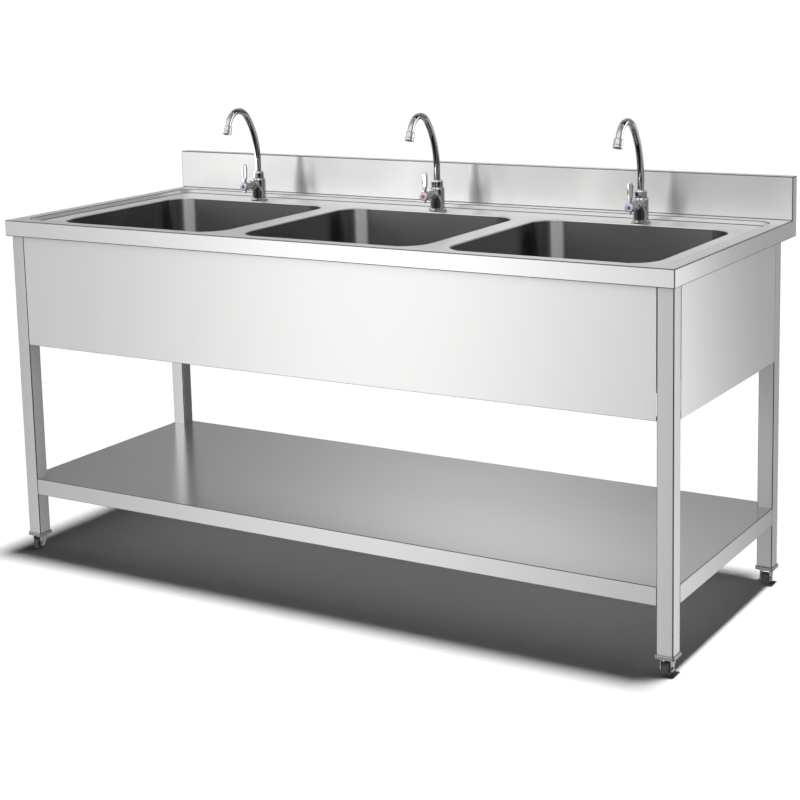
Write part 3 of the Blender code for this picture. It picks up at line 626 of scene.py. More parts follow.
def prism(outline, low, high, axis="Z", bevel=0.0, steps=3):
    """A flat outline pushed out along an axis, with its rims rounded by bevel."""
    bm = bmesh.new()
    place = {
        "X": lambda p, w: Vector((w, p.x, p.y)),
        "Z": lambda p, w: Vector((p.x, p.y, w)),
    }[axis]
    rows = loft(bm, [[place(p, w) for p in outline] for w in (low, high)], capped=True)
    bmesh.ops.recalc_face_normals(bm, faces=bm.faces)
    if bevel:
        rims = [
            edge for edge in bm.edges
            if any(set(edge.verts) <= set(row) for row in rows) and len(edge.link_faces) == 2
        ]
        round_edges(bm, rims, bevel, steps)
    return to_mesh(bm)


def hexagon(across_corners, low, high, bevel=0.0004):
    """A six-sided nut or bolt head about Z."""
    outline = [Vector((cos(a), sin(a))) * across_corners / 2 for a in full_turn(6)]
    return prism(outline, low, high, bevel=bevel, steps=2)


def boolean(base, operation, *others):
    """The mesh of base joined with, or cut by, each of the others."""
    target = add_object("boolean_base", base)
    guides = []
    for mesh in others:
        guide = add_object("boolean_guide", mesh)
        modifier = target.modifiers.new(operation, "BOOLEAN")
        modifier.operation = operation
        modifier.object = guide
        guides.append(guide)
    evaluated = target.evaluated_get(bpy.context.evaluated_depsgraph_get())
    result = bpy.data.meshes.new_from_object(evaluated)
    for made in (target, *guides):
        bpy.data.objects.remove(made)
    return result


def moved(mesh, *matrices):
    for matrix in matrices:
        mesh.transform(matrix)
    return mesh


def turned_to(axis):
    """Turns a mesh made about +Z so that it lies along the axis."""
    return Vector((0, 0, 1)).rotation_difference(Vector(axis)).to_matrix().to_4x4()


def add_section(bm, section, start, end, place):
    """The faces along a folded section; place turns (along, u, v) into a position."""
    rows = [[bm.verts.new(place(along, p.x, p.y)) for p in section] for along in (start, end)]
    for i in range(len(section) - 1):
        bm.faces.new((rows[0][i], rows[0][i + 1], rows[1][i + 1], rows[1][i]))


def folded_strip(section, start, end, place, towards):
    """A folded sheet of even section, as a skin that faces a point."""
    bm = bmesh.new()
    add_section(bm, section, start, end, place)
    return facing(bm, towards)


def paint_shade_on_folds(mesh):
    """Gives the faces of folds that lie well off every axis the dark second material: painted shade along
    each fold.
    """
    for face in mesh.polygons:
        if max(abs(part) for part in face.normal) < cos(FOLD_ANGLE):
            face.material_index = 1


# -------- pieces


def middle_of(node):
    """The middle of a CAD node's box, seen from above."""
    low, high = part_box(node)
    return (low.x + high.x) / 2, (low.y + high.y) / 2


def piece(name, mesh, finish, body, node, slot, at=(0, 0, 0), sheet=0.0):
    """A finished piece that rides on a body and stands for a CAD node. sheet thickens a bare skin inwards.
    Faces with material index 1 are folded edges, dark with painted shade, and with index 2 flanges, a darker
    copy of the steel as painted shade."""
    indices = [face.material_index for face in mesh.polygons]
    mesh.materials.clear()
    for other in (finish, "edge", "flange")[:max(indices) + 1]:
        mesh.materials.append(FINISH[other])
    mesh.polygons.foreach_set("material_index", indices)
    made = add_object(name, mesh)
    made.location = at
    if sheet:
        solidify = made.modifiers.new("sheet", "SOLIDIFY")
        solidify.thickness = sheet
        solidify.offset = -1.0
        solidify.use_even_offset = True
    mesh.shade_smooth()
    mesh.set_sharp_from_angle(angle=SMOOTH_ANGLE)
    flat = made.modifiers.new("flat_faces_stay_flat", "WEIGHTED_NORMAL")
    flat.keep_sharp = True
    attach(made, body)
    if node:
        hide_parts(node)


# -------- worktop


def bowl_opening(side):
    """Half sizes and centre of a bowl's opening in the deck."""
    low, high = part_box(f"bowl_{side}")
    half_x, half_y = (high.x - low.x) / 2 - BOWL_FLANGE, (high.y - low.y) / 2 - BOWL_FLANGE
    return half_x, half_y, middle_of(f"bowl_{side}")


def deck_pan():
    """The cutter for the recessed deck."""
    front, back = WORKTOP_LOW.y + RIM_BAND, WORKTOP_HIGH.y - SPLASH_DEPTH - BACK_BAND
    half_x, half_y = WORKTOP_HIGH.x - RIM_BAND, (back - front) / 2
    centre = (0, (front + back) / 2)
    rings = []
    for out, z in ((-SLOPE_RUN, DECK_TOP), (0.0, RIM_TOP), (SLOPE_RUN, RIM_TOP + DECK_DROP)):
        rings.append(rounded_rectangle(half_x + out, half_y + out, DECK_CORNER + out, z, centre=centre))
    return lofted(rings, capped=True)


def worktop_block():
    """The worktop and upstand as one solid block."""
    front, low = WORKTOP_LOW.y, WORKTOP_LOW.z
    back, top = WORKTOP_HIGH.y, WORKTOP_HIGH.z
    face = back - SPLASH_DEPTH
    corners = ((front, low), (back, low), (back, top), (face, top), (face, RIM_TOP), (front, RIM_TOP))
    return prism([Vector(corner) for corner in corners], WORKTOP_LOW.x, WORKTOP_HIGH.x, axis="X")


def open_deck(bm):
    """Replaces the level deck by one with three bowl openings, whose edges roll down into the bowls."""
    level = [f for f in bm.faces if f.normal.z > 0.99 and abs(f.calc_center_median().z - DECK_TOP) < 0.001]
    deck = max(level, key=lambda f: f.calc_area())
    border = list(deck.edges)
    bmesh.ops.delete(bm, geom=[deck], context="FACES_ONLY")
    steps = 6
    for side in SIDES:
        half_x, half_y, centre = bowl_opening(side)
        rings = []
        for step in range(steps + 1):
            angle = pi / 2 * step / steps
            out = ROLL_RADIUS * (1 - sin(angle))
            z = DECK_TOP - ROLL_RADIUS * (1 - cos(angle))
            rings.append(rounded_rectangle(half_x + out, half_y + out, BOWL_CORNER + out, z, centre=centre))
        top = loft(bm, rings)[0]
        border += [bm.edges.get((top[i - 1], top[i])) for i in range(len(top))]
    bmesh.ops.triangle_fill(bm, use_beauty=True, edges=border, normal=(0, 0, 1))


def worktop_skin():
    """The outer skin of the worktop, open underneath, with its lower edge turned in."""
    bm = bmesh.new()
    bm.from_mesh(boolean(worktop_block(), "DIFFERENCE", deck_pan()))
    bmesh.ops.dissolve_limit(bm, angle_limit=0.001, verts=bm.verts, edges=bm.edges)
    sharp = [edge for edge in bm.edges if edge.calc_face_angle(0.0) > radians(30)]
    # The rounded edges take the dark second material: painted shade lines along every edge.
    round_edges(bm, sharp, EDGE_RADIUS, 5, material=1)
    under = [f for f in bm.faces if f.normal.z < -0.99 and f.calc_center_median().z < WORKTOP_LOW.z + 0.001]
    bmesh.ops.delete(bm, geom=under, context="FACES_ONLY")
    rim = [edge for edge in bm.edges if edge.is_boundary]
    grown = bmesh.ops.extrude_edge_only(bm, edges=rim)
    inset_x, inset_y = WORKTOP_HIGH.x - RIM_RETURN, WORKTOP_HIGH.y - RIM_RETURN
    for vert in (g for g in grown["geom"] if isinstance(g, bmesh.types.BMVert)):
        vert.co.x = max(-inset_x, min(inset_x, vert.co.x))
        vert.co.y = max(-inset_y, min(inset_y, vert.co.y))
    open_deck(bm)
    return facing(bm, ABOVE)


def add_worktop():
    piece("worktop_sheet", worktop_skin(), "worktop", "frame", "worktop", "sheet_steel", sheet=SHEET)


# -------- bowls and drains


def bowl_skin(side):
    """The inside of a bowl from under the deck's rolled edge down to the drain hole, facing the inside."""
    half_x, half_y, centre = bowl_opening(side)
    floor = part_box(f"bowl_{side}")[0].z + SHEET

    def ring(shrink, z, corner):
        return rounded_rectangle(half_x - shrink, half_y - shrink, corner, z, centre=centre)

    def circle(radius):
        return rounded_rectangle(radius, radius, radius, floor, centre=centre)

    rings = [ring(0.0, DECK_TOP - ROLL_RADIUS, BOWL_CORNER)]
    steps = 10
    for step in range(steps + 1):
        angle = pi / 2 * step / steps
        inwards = BOWL_FOOT * (1 - cos(angle))
        z = floor + FLOOR_FALL + BOWL_FOOT * (1 - sin(angle))
        rings.append(ring(BOWL_DRAFT + inwards, z, BOWL_CORNER - 0.8 * inwards))
    foot, drain = rings[-1], circle(DRAIN_FLANGE + FLOOR_LEVEL_RIM)
    rings += [[a.lerp(b, share) for a, b in zip(foot, drain)] for share in (0.25, 0.5, 0.75)]
    bm = bmesh.new()
    loft(bm, rings + [drain, circle(DRAIN_HOLE)])
    bmesh.ops.remove_doubles(bm, verts=bm.verts, dist=TINY)
    return facing(bm, Vector((*centre, floor + 0.1)))


def perforated(bm, columns, rows, surface, hole):
    """A sheet of cells, each with a round hole, on a surface that maps (0..1, 0..1) to a position."""
    per_side = 4
    for column, row in [(column, row) for column in range(columns) for row in range(rows)]:
        def at(u, v):
            return surface((column + u) / columns, (row + v) / rows)

        centre, along, up = at(0.5, 0.5), at(0.51, 0.5), at(0.5, 0.51)
        along, up = (along - centre).normalized(), (up - centre).normalized()
        border, rim = [], []
        for i in range(4 * per_side):
            side, step = divmod(i, per_side)
            t = step / per_side
            u, v = ((t, 0), (1, t), (1 - t, 1), (0, 1 - t))[side]
            border.append(at(u, v))
            angle = atan2(v - 0.5, u - 0.5)
            rim.append(centre + hole * (cos(angle) * along + sin(angle) * up))
        loft(bm, [border, rim])


def basket_cup():
    """A strainer basket: rolled rim, perforated side and perforated floor, facing the inside."""
    bm = bmesh.new()
    lip = 0.0022
    wall = BASKET_RIM - lip

    def side(u, v):
        height = BASKET_TOP + (BASKET_FLOOR - BASKET_TOP) * v
        return polar(wall * (1 - v) + BASKET_FOOT * v, tau * u, height)

    def floor(u, v):
        return polar(BASKET_FOOT * (1 - v) + BASKET_HUB * v, tau * u, BASKET_FLOOR)

    perforated(bm, BASKET_COLUMNS, 3, side, 0.002)
    perforated(bm, BASKET_COLUMNS, 3, floor, 0.0011)
    count = BASKET_COLUMNS * 4
    roll = ((wall, BASKET_TOP), (BASKET_RIM - lip * 0.6, BASKET_TOP + 0.0007), (BASKET_RIM, BASKET_TOP),
            (BASKET_RIM, BASKET_TOP - 0.001))
    loft(bm, [round_ring(radius, z, count) for radius, z in roll])
    bm.faces.new([bm.verts.new(point) for point in round_ring(BASKET_HUB, BASKET_FLOOR, count)])
    bmesh.ops.remove_doubles(bm, verts=bm.verts, dist=TINY)
    return facing(bm, Vector((0, 0, BASKET_TOP)))


def lugged_ring(inner, outer, lugs, low, high):
    """A round nut with lugs for a spanner, and a small chamfer at its foot."""
    lug_height, chamfer = 0.004, 0.0006
    outline = []
    for angle in full_turn(lugs * 12):
        wave = 0.5 + 0.5 * cos(lugs * angle)
        outline.append((outer - lug_height * (1 - wave**0.35), angle))
    bore = [(inner, angle) for _, angle in outline]
    foot = [(radius - chamfer, angle) for radius, angle in outline]
    rings = ((foot, low), (outline, low + chamfer), (outline, high), (bore, high), (bore, low))
    return lofted([polar_ring(ring, z) for ring, z in rings], closed=True)


def strainer_mesh():
    """Flange, throat and tailpiece of a drain, about its axis."""
    corners = [
        (STRAINER_BORE, STRAINER_TOP - 0.0004, 0.0012), (DRAIN_FLANGE - 0.0025, STRAINER_TOP, 0.0008),
        (DRAIN_FLANGE, GAP, 0.0), (THROAT_RADIUS, GAP, 0.0), (THROAT_RADIUS, -0.034, 0.002),
        (TAILPIECE_RADIUS, -0.04, 0.001), (TAILPIECE_RADIUS, TAILPIECE_FOOT, 0.0005),
        (TAILPIECE_BORE, TAILPIECE_FOOT, 0.0005), (TAILPIECE_BORE, -0.038, 0.001),
        (STRAINER_BORE, -0.032, 0.002),
    ]
    return revolved(corners, 72, closed=True)


def knob_mesh():
    """The knob that a basket is lifted by, with its stem and foot washer."""
    corners = [
        (0.0, 0.011, 0), (0.007, 0.0105, 0.0012), (0.007, 0.008, 0.0008), (0.003, 0.0062, 0.0012),
        (0.003, -0.024, 0.0008), (0.0075, -0.025, 0.0004), (0.0075, -0.0258, 0.0003), (0.0, -0.0258, 0),
    ]
    return revolved(corners, 40)


def add_bowls():
    for side in SIDES:
        bowl = f"bowl_{side}"
        piece(f"{bowl}_pressing", bowl_skin(side), "bowl", "frame", bowl, "bowl_steel", sheet=SHEET)
        at = (*middle_of(bowl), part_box(bowl)[0].z + SHEET)
        strainer = f"drain_strainer_{side}"
        piece(f"drain_{side}_strainer", strainer_mesh(), "drain", "frame", strainer, "chrome", at)
        nut_top = -SHEET - GAP
        nut = lugged_ring(DRAIN_NUT_BORE, DRAIN_NUT_RADIUS, 8, nut_top - DRAIN_NUT_HEIGHT, nut_top)
        piece(f"drain_{side}_nut", nut, "zinc", "frame", f"drain_nut_{side}", "plated_steel", at)
        basket = f"basket_{side}"
        piece(f"{basket}_cup", basket_cup(), "drain", basket, f"drain_basket_{side}", "chrome", at,
              sheet=BASKET_SHEET)
        piece(f"{basket}_knob", knob_mesh(), "drain", basket, None, "chrome", at)


# -------- frame


def apron_skin(low, high, across, sign):
    """A panel with its lower edge folded in and up. It faces along X (across 0) or along Y (across 1)."""
    face = high[across] if sign > 0 else low[across]
    start, end = low[1 - across] + SEAM, high[1 - across] - SEAM
    section = arc_corners([(0.0, high.z, 0), (0.0, low.z, APRON_BEND), (APRON_RETURN, low.z, APRON_BEND),
                           (APRON_RETURN, low.z + APRON_LIP, 0)])

    def place(along, inwards, z):
        point = Vector((along, along, z))
        point[across] = face - sign * inwards
        return point

    return folded_strip(section, start, end, place, place(0.0, -FAR, 0.0))


def add_aprons():
    for side, across, sign in (("front", 1, -1), ("back", 1, 1), ("left", 0, -1), ("right", 0, 1)):
        skin = apron_skin(*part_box(f"apron_{side}"), across, sign)
        paint_shade_on_folds(skin)
        piece(f"{side}_panel", skin, "sheet", "frame", f"apron_{side}", "sheet_steel", sheet=THIN_SHEET)


def add_legs():
    for corner in CORNERS:
        node = f"leg_{corner}"
        low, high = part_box(node)
        half = (high.x - low.x) / 2
        rings = [
            rounded_rectangle(half - wall, half - wall, LEG_RADIUS - wall, z, steps=6)
            for wall, z in ((0, low.z), (0, high.z), (LEG_WALL, high.z), (LEG_WALL, low.z))
        ]
        leg = lofted(rings, closed=True)
        paint_shade_on_folds(leg)
        piece(f"{corner}_leg", leg, "leg", "frame", node, "sheet_steel", (*middle_of(node), 0))


def shelf_skin():
    """The shelf's top and its four flanges with inward lips, notched round the legs, facing out."""
    low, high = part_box("shelf")
    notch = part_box("leg_front_left")[1].x - low.x + GAP
    bend = EDGE_RADIUS
    xs = (low.x + bend, low.x + notch, high.x - notch, high.x - bend)
    ys = (low.y + bend, low.y + notch, high.y - notch, high.y - bend)
    top = ((1, 0), (2, 0), (2, 1), (3, 1), (3, 2), (2, 2), (2, 3), (1, 3), (1, 2), (0, 2), (0, 1), (1, 1))
    bm = bmesh.new()
    bm.faces.new([bm.verts.new((xs[i], ys[j], high.z)) for i, j in top])
    fold = [(-2 * bend, high.z, 0), (0, high.z, bend), (0, low.z, bend), (-SHELF_RETURN, low.z, 0)]
    section = arc_corners(fold)[1:]
    for ends, place in (
        (xs, lambda a, u, v: (a, low.y - u, v)),
        (xs, lambda a, u, v: (a, high.y + u, v)),
        (ys, lambda a, u, v: (low.x - u, a, v)),
        (ys, lambda a, u, v: (high.x + u, a, v)),
    ):
        add_section(bm, section, ends[1], ends[2], place)
    bmesh.ops.remove_doubles(bm, verts=bm.verts, dist=TINY)
    return facing(bm, ABOVE)


def stiffener_skin():
    """A hat section along the underside of the shelf."""
    low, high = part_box("shelf_stiffener")
    middle, half = (low.y + high.y) / 2, (high.y - low.y) / 2
    web, bend = half - STIFFENER_BRIM, STIFFENER_BEND
    section = arc_corners([(-half, high.z, 0), (-web, high.z, bend), (-web, low.z, bend), (web, low.z, bend),
                           (web, high.z, bend), (half, high.z, 0)])
    return folded_strip(section, low.x, high.x, lambda a, u, v: Vector((a, middle + u, v)), ABOVE)


def add_shelf():
    skin = shelf_skin()
    # Flanges take the darker copy of the steel and folds the dark one: both painted shade.
    for face in skin.polygons:
        face.material_index = 0 if face.normal.z > 0.9 else 2
    paint_shade_on_folds(skin)
    piece("shelf_sheet", skin, "shelf", "frame", "shelf", "sheet_steel", sheet=SHEET)
    piece("shelf_stiffener_channel", stiffener_skin(), "sheet", "frame", "shelf_stiffener", "sheet_steel",
          sheet=THIN_SHEET)


# -------- casters


def cap_mesh(half, thickness):
    """A square cap with rounded corners, two rims and a groove between them, from its underside up."""
    eighth = thickness / 8
    rings = []
    for inset, z in ((1.0, 0.0), (0.3, 0.3), (0.0, 1.0), (0.0, 2.7), (0.9, 3.3), (0.9, 4.6), (0.0, 5.2),
                     (0.0, 6.8), (0.3, 7.5), (1.0, 8.0)):
        side, corner = half - inset * eighth, CAP_CORNER - inset * eighth
        rings.append(rounded_rectangle(side, side, corner, z * eighth, steps=8))
    return lofted(rings, capped=True)


def fork_mesh(top, axle):
    """Crown plate, kingpin, stem and tapered cheeks, about the swivel axis. Heights are from the floor."""
    sunk = top - 0.001
    crown = block((-CHEEK_OUTER, -FORK_HALF, top - CROWN_THICKNESS), (CHEEK_OUTER, FORK_HALF, top), 0.0008)
    pin = ((0, top - 0.0058, 0), (0.0046, top - 0.0054, 0.0015), (0.0046, sunk, 0), (0, sunk, 0))
    stem_top, radius = top + FORK_STEM_LENGTH, FORK_STEM_RADIUS
    stem = ((0, sunk, 0), (radius, sunk, 0), (radius, stem_top, 0.0008), (0, stem_top, 0))
    foot, foot_radius = axle - CHEEK_FOOT, CHEEK_FOOT * 0.95
    cheek = [
        (FORK_HALF, sunk, 0), (FORK_HALF, top - 0.009, 0.004),
        (CHEEK_FOOT - WHEEL_TRAIL, foot, foot_radius), (-CHEEK_FOOT - WHEEL_TRAIL, foot, foot_radius),
        (-FORK_HALF, top - 0.008, 0.003), (-FORK_HALF, sunk, 0),
    ]
    outline = arc_corners(cheek, closed=True)
    sides = ((-CHEEK_OUTER, -CHEEK_INNER), (CHEEK_INNER, CHEEK_OUTER))
    cheeks = [prism(outline, near, far, axis="X", bevel=0.0005) for near, far in sides]
    return boolean(crown, "UNION", revolved(pin, 32), revolved(stem, 32), *cheeks)


def wheel_ring(half_profile):
    """A ring of a wheel, from the half of its profile that lies below its middle."""
    mirrored = [(radius, -z, fillet) for radius, z, fillet in half_profile[::-1]]
    return revolved(half_profile + mirrored, 64, closed=True)


def tyre_mesh(radius, width):
    half, side = width / 2, width / 2 - 0.0012
    return wheel_ring([(RIM_RADIUS, -side, 0.0004), (radius - 0.0012, -side, 0.0012),
                       (radius, -half + 0.0045, 0.0025)])


def rim_mesh(width):
    """The wheel's centre: a boss, a thin web with a rounded rim that holds the tyre."""
    half = width / 2
    web, lip = -half + 0.0035, -half + 0.0008
    return wheel_ring([
        (AXLE_RADIUS + 0.0006, -half, 0.0003), (0.0056, -half, 0.0006), (0.0056, web, 0.0008),
        (0.0082, web, 0.0008), (0.0082, lip, 0.0004), (RIM_RADIUS, lip, 0.0004),
    ])


def bolt_mesh():
    """The axle bolt with its head and nut, about Z."""
    face = CHEEK_OUTER + GAP
    head = hexagon(AXLE_HEX, face - 0.0001, face + 0.0028)
    nut = hexagon(AXLE_HEX, -face - 0.0024, -face + 0.0001)
    return boolean(plug(AXLE_RADIUS, -face, face, 24), "UNION", head, nut)


def add_casters():
    along_x = turned_to((1, 0, 0))
    for corner in CORNERS:
        cap_node, body, wheel = f"caster_cap_{corner}", f"caster_{corner}", f"wheel_{corner}"
        low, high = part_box(cap_node)
        centre = middle_of(cap_node)
        cap = cap_mesh((high.x - low.x) / 2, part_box(f"leg_{corner}")[0].z - GAP - low.z)
        piece(f"{corner}_leg_cap", cap, "zinc", "frame", cap_node, "plated_steel", (*centre, low.z))
        wheel_low, wheel_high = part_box(f"caster_wheel_{corner}")
        axle, width = (wheel_low.z + wheel_high.z) / 2, wheel_high.x - wheel_low.x
        fork = fork_mesh(low.z - GAP, axle)
        piece(f"{corner}_fork", fork, "zinc", body, f"caster_fork_{corner}", "plated_steel", (*centre, 0))
        hub = (centre[0], centre[1] - WHEEL_TRAIL, axle)
        tyre = moved(tyre_mesh(wheel_high.z - axle, width), along_x)
        piece(f"{corner}_tyre", tyre, "rubber", wheel, f"caster_wheel_{corner}", "wheel_rubber", hub)
        rim = moved(rim_mesh(width), along_x)
        piece(f"{corner}_wheel_centre", rim, "dark", wheel, None, "wheel_rubber", hub)
        bolt = moved(bolt_mesh(), along_x)
        piece(f"{corner}_axle_bolt", bolt, "zinc", body, f"caster_axle_{corner}", "plated_steel", hub)


# -------- taps


def tap_body_mesh():
    """Base flange, barrel, threaded shank and the valve's bonnet towards -Y, about the tap's foot."""
    barrel = [
        (0, -SHANK_LENGTH, 0), (SHANK_RADIUS, -SHANK_LENGTH, 0.001), (SHANK_RADIUS, GAP, 0),
        (BASE_RADIUS, GAP, 0.0006), (BASE_RADIUS, 0.0036, 0.001), (BASE_RADIUS - 0.0016, 0.0048, 0.0008),
        (BASE_RADIUS - 0.003, 0.0058, 0.0008), (BODY_RADIUS, 0.007, 0.0012),
        (BODY_RADIUS, BODY_TOP - 0.0055, 0.0016), (COLLAR_RADIUS + 0.0008, BODY_TOP, 0.0012),
        (0.0095, BODY_TOP, 0.0003), (0.0092, TUBE_SEAT - 0.002, 0), (0, TUBE_SEAT - 0.002, 0),
    ]
    bonnet = [
        (0, 0.004, 0), (BOSS_RADIUS, 0.004, 0), (BOSS_RADIUS, 0.0225, 0.001),
        (BOSS_RADIUS - 0.0015, 0.024, 0.0005), (BOSS_RADIUS - 0.0015, 0.035, 0.0012),
        (STEM_RADIUS + 0.0005, 0.0375, 0.001), (STEM_RADIUS, 0.049, 0.001), (STEM_RADIUS, STEM_END, 0.0006),
        (0, STEM_END, 0),
    ]
    valve = boolean(revolved(bonnet, 56, 4), "UNION", hexagon(BONNET_HEX, 0.0255, 0.0335, bevel=0.0006))
    moved(valve, turned_to((0, -1, 0)), Matrix.Translation((0, 0, STEM_HEIGHT)))
    return boolean(revolved(barrel, 72, 5), "UNION", valve)


def collar_mesh():
    """The spout's nut: twelve flats between two round shoulders."""
    bore = TUBE_RADIUS + 0.0006
    count = COLLAR_FLATS * 6
    low, high = BODY_TOP + GAP, COLLAR_TOP

    def flat_radius(angle):
        off_middle = angle % (tau / COLLAR_FLATS) - pi / COLLAR_FLATS
        return min(COLLAR_RADIUS * cos(pi / COLLAR_FLATS) / cos(off_middle), COLLAR_RADIUS)

    faceted = [(flat_radius(angle), angle) for angle in full_turn(count)]
    below = ((0.0009, 0.0), (0.0003, 0.0006), (0.0003, 0.0024), (0.0011, 0.003))
    above = ((0.0012, 0.0044), (0.002, 0.0008), (0.0027, 0.0))
    rings = [round_ring(COLLAR_RADIUS - inset, low + up, count) for inset, up in below]
    rings += [polar_ring(faceted, z) for z in (low + 0.0038, high - 0.0052)]
    rings += [round_ring(COLLAR_RADIUS - inset, high - down, count) for inset, down in above]
    rings += [round_ring(bore, z, count) for z in (high, low)]
    return lofted(rings, closed=True)


def spout_path():
    """The tube's centre line: straight up, a wide sweep, a tight hook and the nozzle."""
    points = [(0.0, TUBE_SEAT), (0.0, COLLAR_TOP), (0.0, RISE_TOP)]
    for radius, start, end, steps in (
        (SWEEP_RADIUS, 0.0, SWEEP_ANGLE, 14),
        (HOOK_RADIUS, SWEEP_ANGLE, NOZZLE_ANGLE, 28),
    ):
        reach, height = points[-1]
        for step in range(1, steps + 1):
            angle = start + (end - start) * step / steps
            onward = radius * (cos(start) - cos(angle))
            upward = radius * (sin(angle) - sin(start))
            points.append((reach + onward, height + upward))
    reach, height = points[-1]
    points.append((reach + NOZZLE_RUN * sin(NOZZLE_ANGLE), height + NOZZLE_RUN * cos(NOZZLE_ANGLE)))
    return [Vector((0.0, -forward, up)) for forward, up in points]


def tube(path, outer, inner, segments=36):
    """An open-ended tube in the YZ plane along a path."""
    last = len(path) - 1
    tangents = [(path[min(i + 1, last)] - path[max(i - 1, 0)]).normalized() for i in range(len(path))]
    across = Vector((1, 0, 0))

    def ring(point, tangent, radius):
        up = tangent.cross(across)
        return [point + radius * (cos(a) * across + sin(a) * up) for a in full_turn(segments)]

    there = [ring(point, tangent, outer) for point, tangent in zip(path, tangents)]
    back = [ring(point, tangent, inner) for point, tangent in zip(path, tangents)][::-1]
    return lofted(there + back, closed=True)


def aerator_mesh():
    """The nozzle's sleeve, about Z with its outlet at the bottom."""
    bore = TUBE_RADIUS + GAP
    foot = AERATOR_OVERLAP - AERATOR_LENGTH
    corners = [
        (bore, AERATOR_OVERLAP, 0.0), (AERATOR_RADIUS - 0.0014, AERATOR_OVERLAP, 0.0006),
        (AERATOR_RADIUS - 0.0006, AERATOR_OVERLAP - 0.0022, 0.0008),
        (AERATOR_RADIUS - 0.0006, foot + 0.0078, 0.0004), (AERATOR_RADIUS - 0.0014, foot + 0.007, 0.0003),
        (AERATOR_RADIUS, foot + 0.0062, 0.0006), (AERATOR_RADIUS, foot, 0.001), (0.0088, foot, 0.0005),
        (0.0078, foot + 0.002, 0.0003), (0.0078, -GAP, 0.0), (bore, -GAP, 0.0),
    ]
    return revolved(corners, 56, 4, closed=True)


def screen_mesh():
    """The aerator's insert: rings round a centre, just inside the outlet."""
    foot = AERATOR_OVERLAP - AERATOR_LENGTH
    low, high, top = foot + 0.0012, foot + 0.0024, foot + 0.005
    profile = [(0, low)]
    for ridge in range(4):
        inner = 0.0012 + ridge * 0.0014
        profile += [(inner, low), (inner, high), (inner + 0.0007, high), (inner + 0.0007, low)]
    return turned(profile + [(0.0076, low), (0.0076, top), (0, top)], 40)


def oval(width, thickness, z, squareness, points=28):
    """A ring in XY between an ellipse (squareness 2) and a rectangle."""
    ring = []
    for angle in full_turn(points):
        x, y = cos(angle), sin(angle)
        across = copysign(abs(x) ** (2 / squareness), x) * width / 2
        deep = copysign(abs(y) ** (2 / squareness), y) * thickness / 2
        ring.append(Vector((across, deep, z)))
    return ring


def lever_mesh():
    """Hub about Y, and through it the upright lever: a round neck that flattens into a paddle, and a nub."""
    hub = revolved(
        [
            (0, 0, 0), (HUB_RADIUS - 0.0016, 0, 0.0006), (HUB_RADIUS, 0.0018, 0.0012),
            (HUB_RADIUS, HUB_LENGTH - 0.0006, 0.002), (HUB_RADIUS - 0.0014, HUB_LENGTH, 0.0004),
            (HUB_RADIUS - 0.0016, HUB_LENGTH - HUB_RECESS, 0.0), (0, HUB_LENGTH - HUB_RECESS, 0),
        ],
        56, 5,
    )
    moved(hub, turned_to((0, -1, 0)))
    round_part = (
        (0.0072, -NUB_LENGTH), (0.0088, -NUB_LENGTH + 0.0008), (0.009, -NUB_LENGTH + 0.0032),
        (0.0076, -NUB_LENGTH + 0.0046), (0.0076, 0.0), (0.01, 0.0112), (0.0088, 0.0145),
    )
    paddle = (
        (0.009, 0.008, 0.018), (0.011, 0.0068, 0.0222), (0.0138, 0.0058, 0.0264), (0.015, 0.0055, 0.033),
        (0.015, 0.0054, 0.046), (0.0148, 0.0052, 0.053), (0.0136, 0.0048, 0.0572), (0.0104, 0.0036, 0.0592),
        (0.0056, 0.002, 0.06),
    )
    rings = [oval(width, width, z, 2.0) for width, z in round_part]
    rings += [oval(width, thickness, z, 4.0) for width, thickness, z in paddle]
    arm = moved(lofted(rings, capped=True), Matrix.Translation((0, -HUB_LENGTH / 2, 0)))
    return boolean(hub, "UNION", arm)


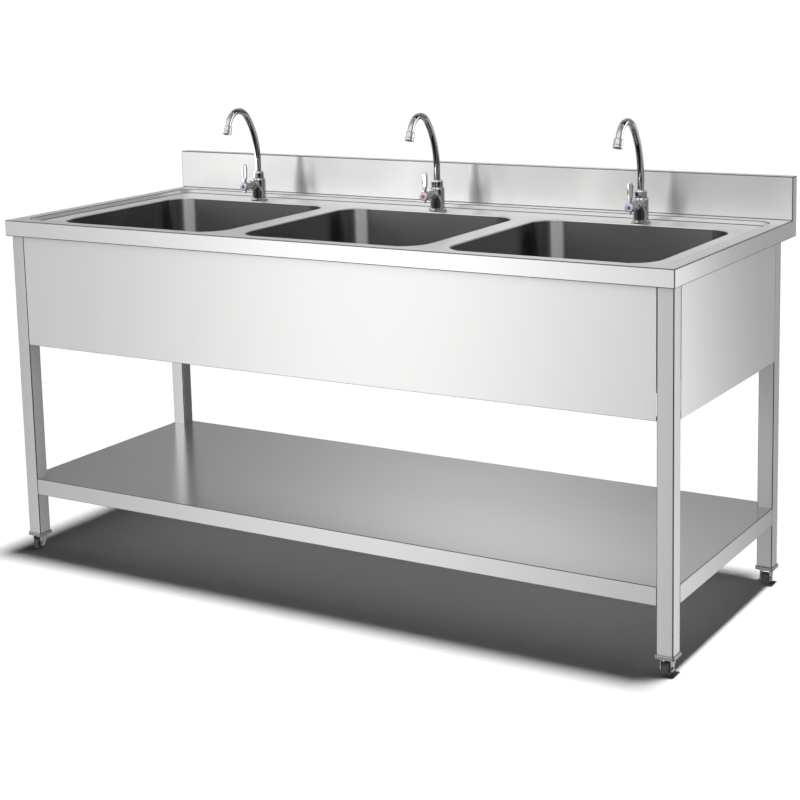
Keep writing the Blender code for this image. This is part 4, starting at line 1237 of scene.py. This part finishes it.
def locknut_mesh():
    """The nut under the deck with its washer face, about the tap's foot."""
    top, reach = -SHEET - GAP, 0.05
    nut = boolean(
        hexagon(LOCKNUT_HEX, top - LOCKNUT_HEIGHT, top - 0.0012, bevel=0.0006),
        "UNION",
        plug(LOCKNUT_WASHER, top - 0.0014, top, 48),
    )
    return boolean(nut, "DIFFERENCE", plug(SHANK_RADIUS + 0.0004, -reach, reach, 48))


def index_disc(radius, low, edge, top, segments):
    """A slightly domed disc of the index cap, facing -Y."""
    disc = revolved([(0, low, 0), (radius, low, 0), (radius, edge, 0.0009), (0, top, 0)], segments, 5)
    return moved(disc, turned_to((0, -1, 0)))


def add_taps():
    path = spout_path()
    tilt = Matrix.Rotation(NOZZLE_ANGLE - pi, 4, "X")
    for side in SIDES:
        foot = Vector((*middle_of(f"tap_collar_{side}"), DECK_TOP))
        tip = foot + path[-1]
        hub = foot + Vector((0, -STEM_END - GAP, STEM_HEIGHT))
        face = hub - Vector((0, HUB_LENGTH - HUB_RECESS, 0))
        colour = "red" if side == "middle" else "blue"
        index_slot = f"index_{colour}"
        ring = index_disc(INDEX_RING_RADIUS, 0, 0.0018, 0.0026, 48)
        dot = index_disc(INDEX_DOT_RADIUS, 0.001, 0.0029, 0.0036, 40)
        spout, handle = f"spout_{side}", f"handle_{side}"
        for name, mesh, finish, body, slot, at in (
            ("body", tap_body_mesh(), "chrome", "frame", "chrome", foot),
            ("collar", collar_mesh(), "chrome", "frame", "chrome", foot),
            ("locknut", locknut_mesh(), "zinc", "frame", "plated_steel", foot),
            ("spout", tube(path, TUBE_RADIUS, TUBE_RADIUS - TUBE_WALL), "chrome", spout, "chrome", foot),
            ("aerator", moved(aerator_mesh(), tilt), "chrome", spout, "chrome", tip),
            ("screen", moved(screen_mesh(), tilt), "dark", spout, "chrome", tip),
            ("lever", lever_mesh(), "chrome", handle, "chrome", hub),
            ("index_ring", ring, "pearl", handle, index_slot, face),
            ("index", dot, colour, handle, index_slot, face),
        ):
            node = None if name in ("screen", "index_ring") else f"tap_{name}_{side}"
            piece(f"tap_{side}_{name}", mesh, finish, body, node, slot, at)


# -------- assembly


def main():
    set_colour()
    add_camera()
    add_world()
    add_lights()
    add_floor()
    add_front_fill()
    add_worktop()
    add_bowls()
    add_aprons()
    add_legs()
    add_shelf()
    add_casters()
    add_taps()
    add_tap_strips()
    add_bowl_strips()


main()
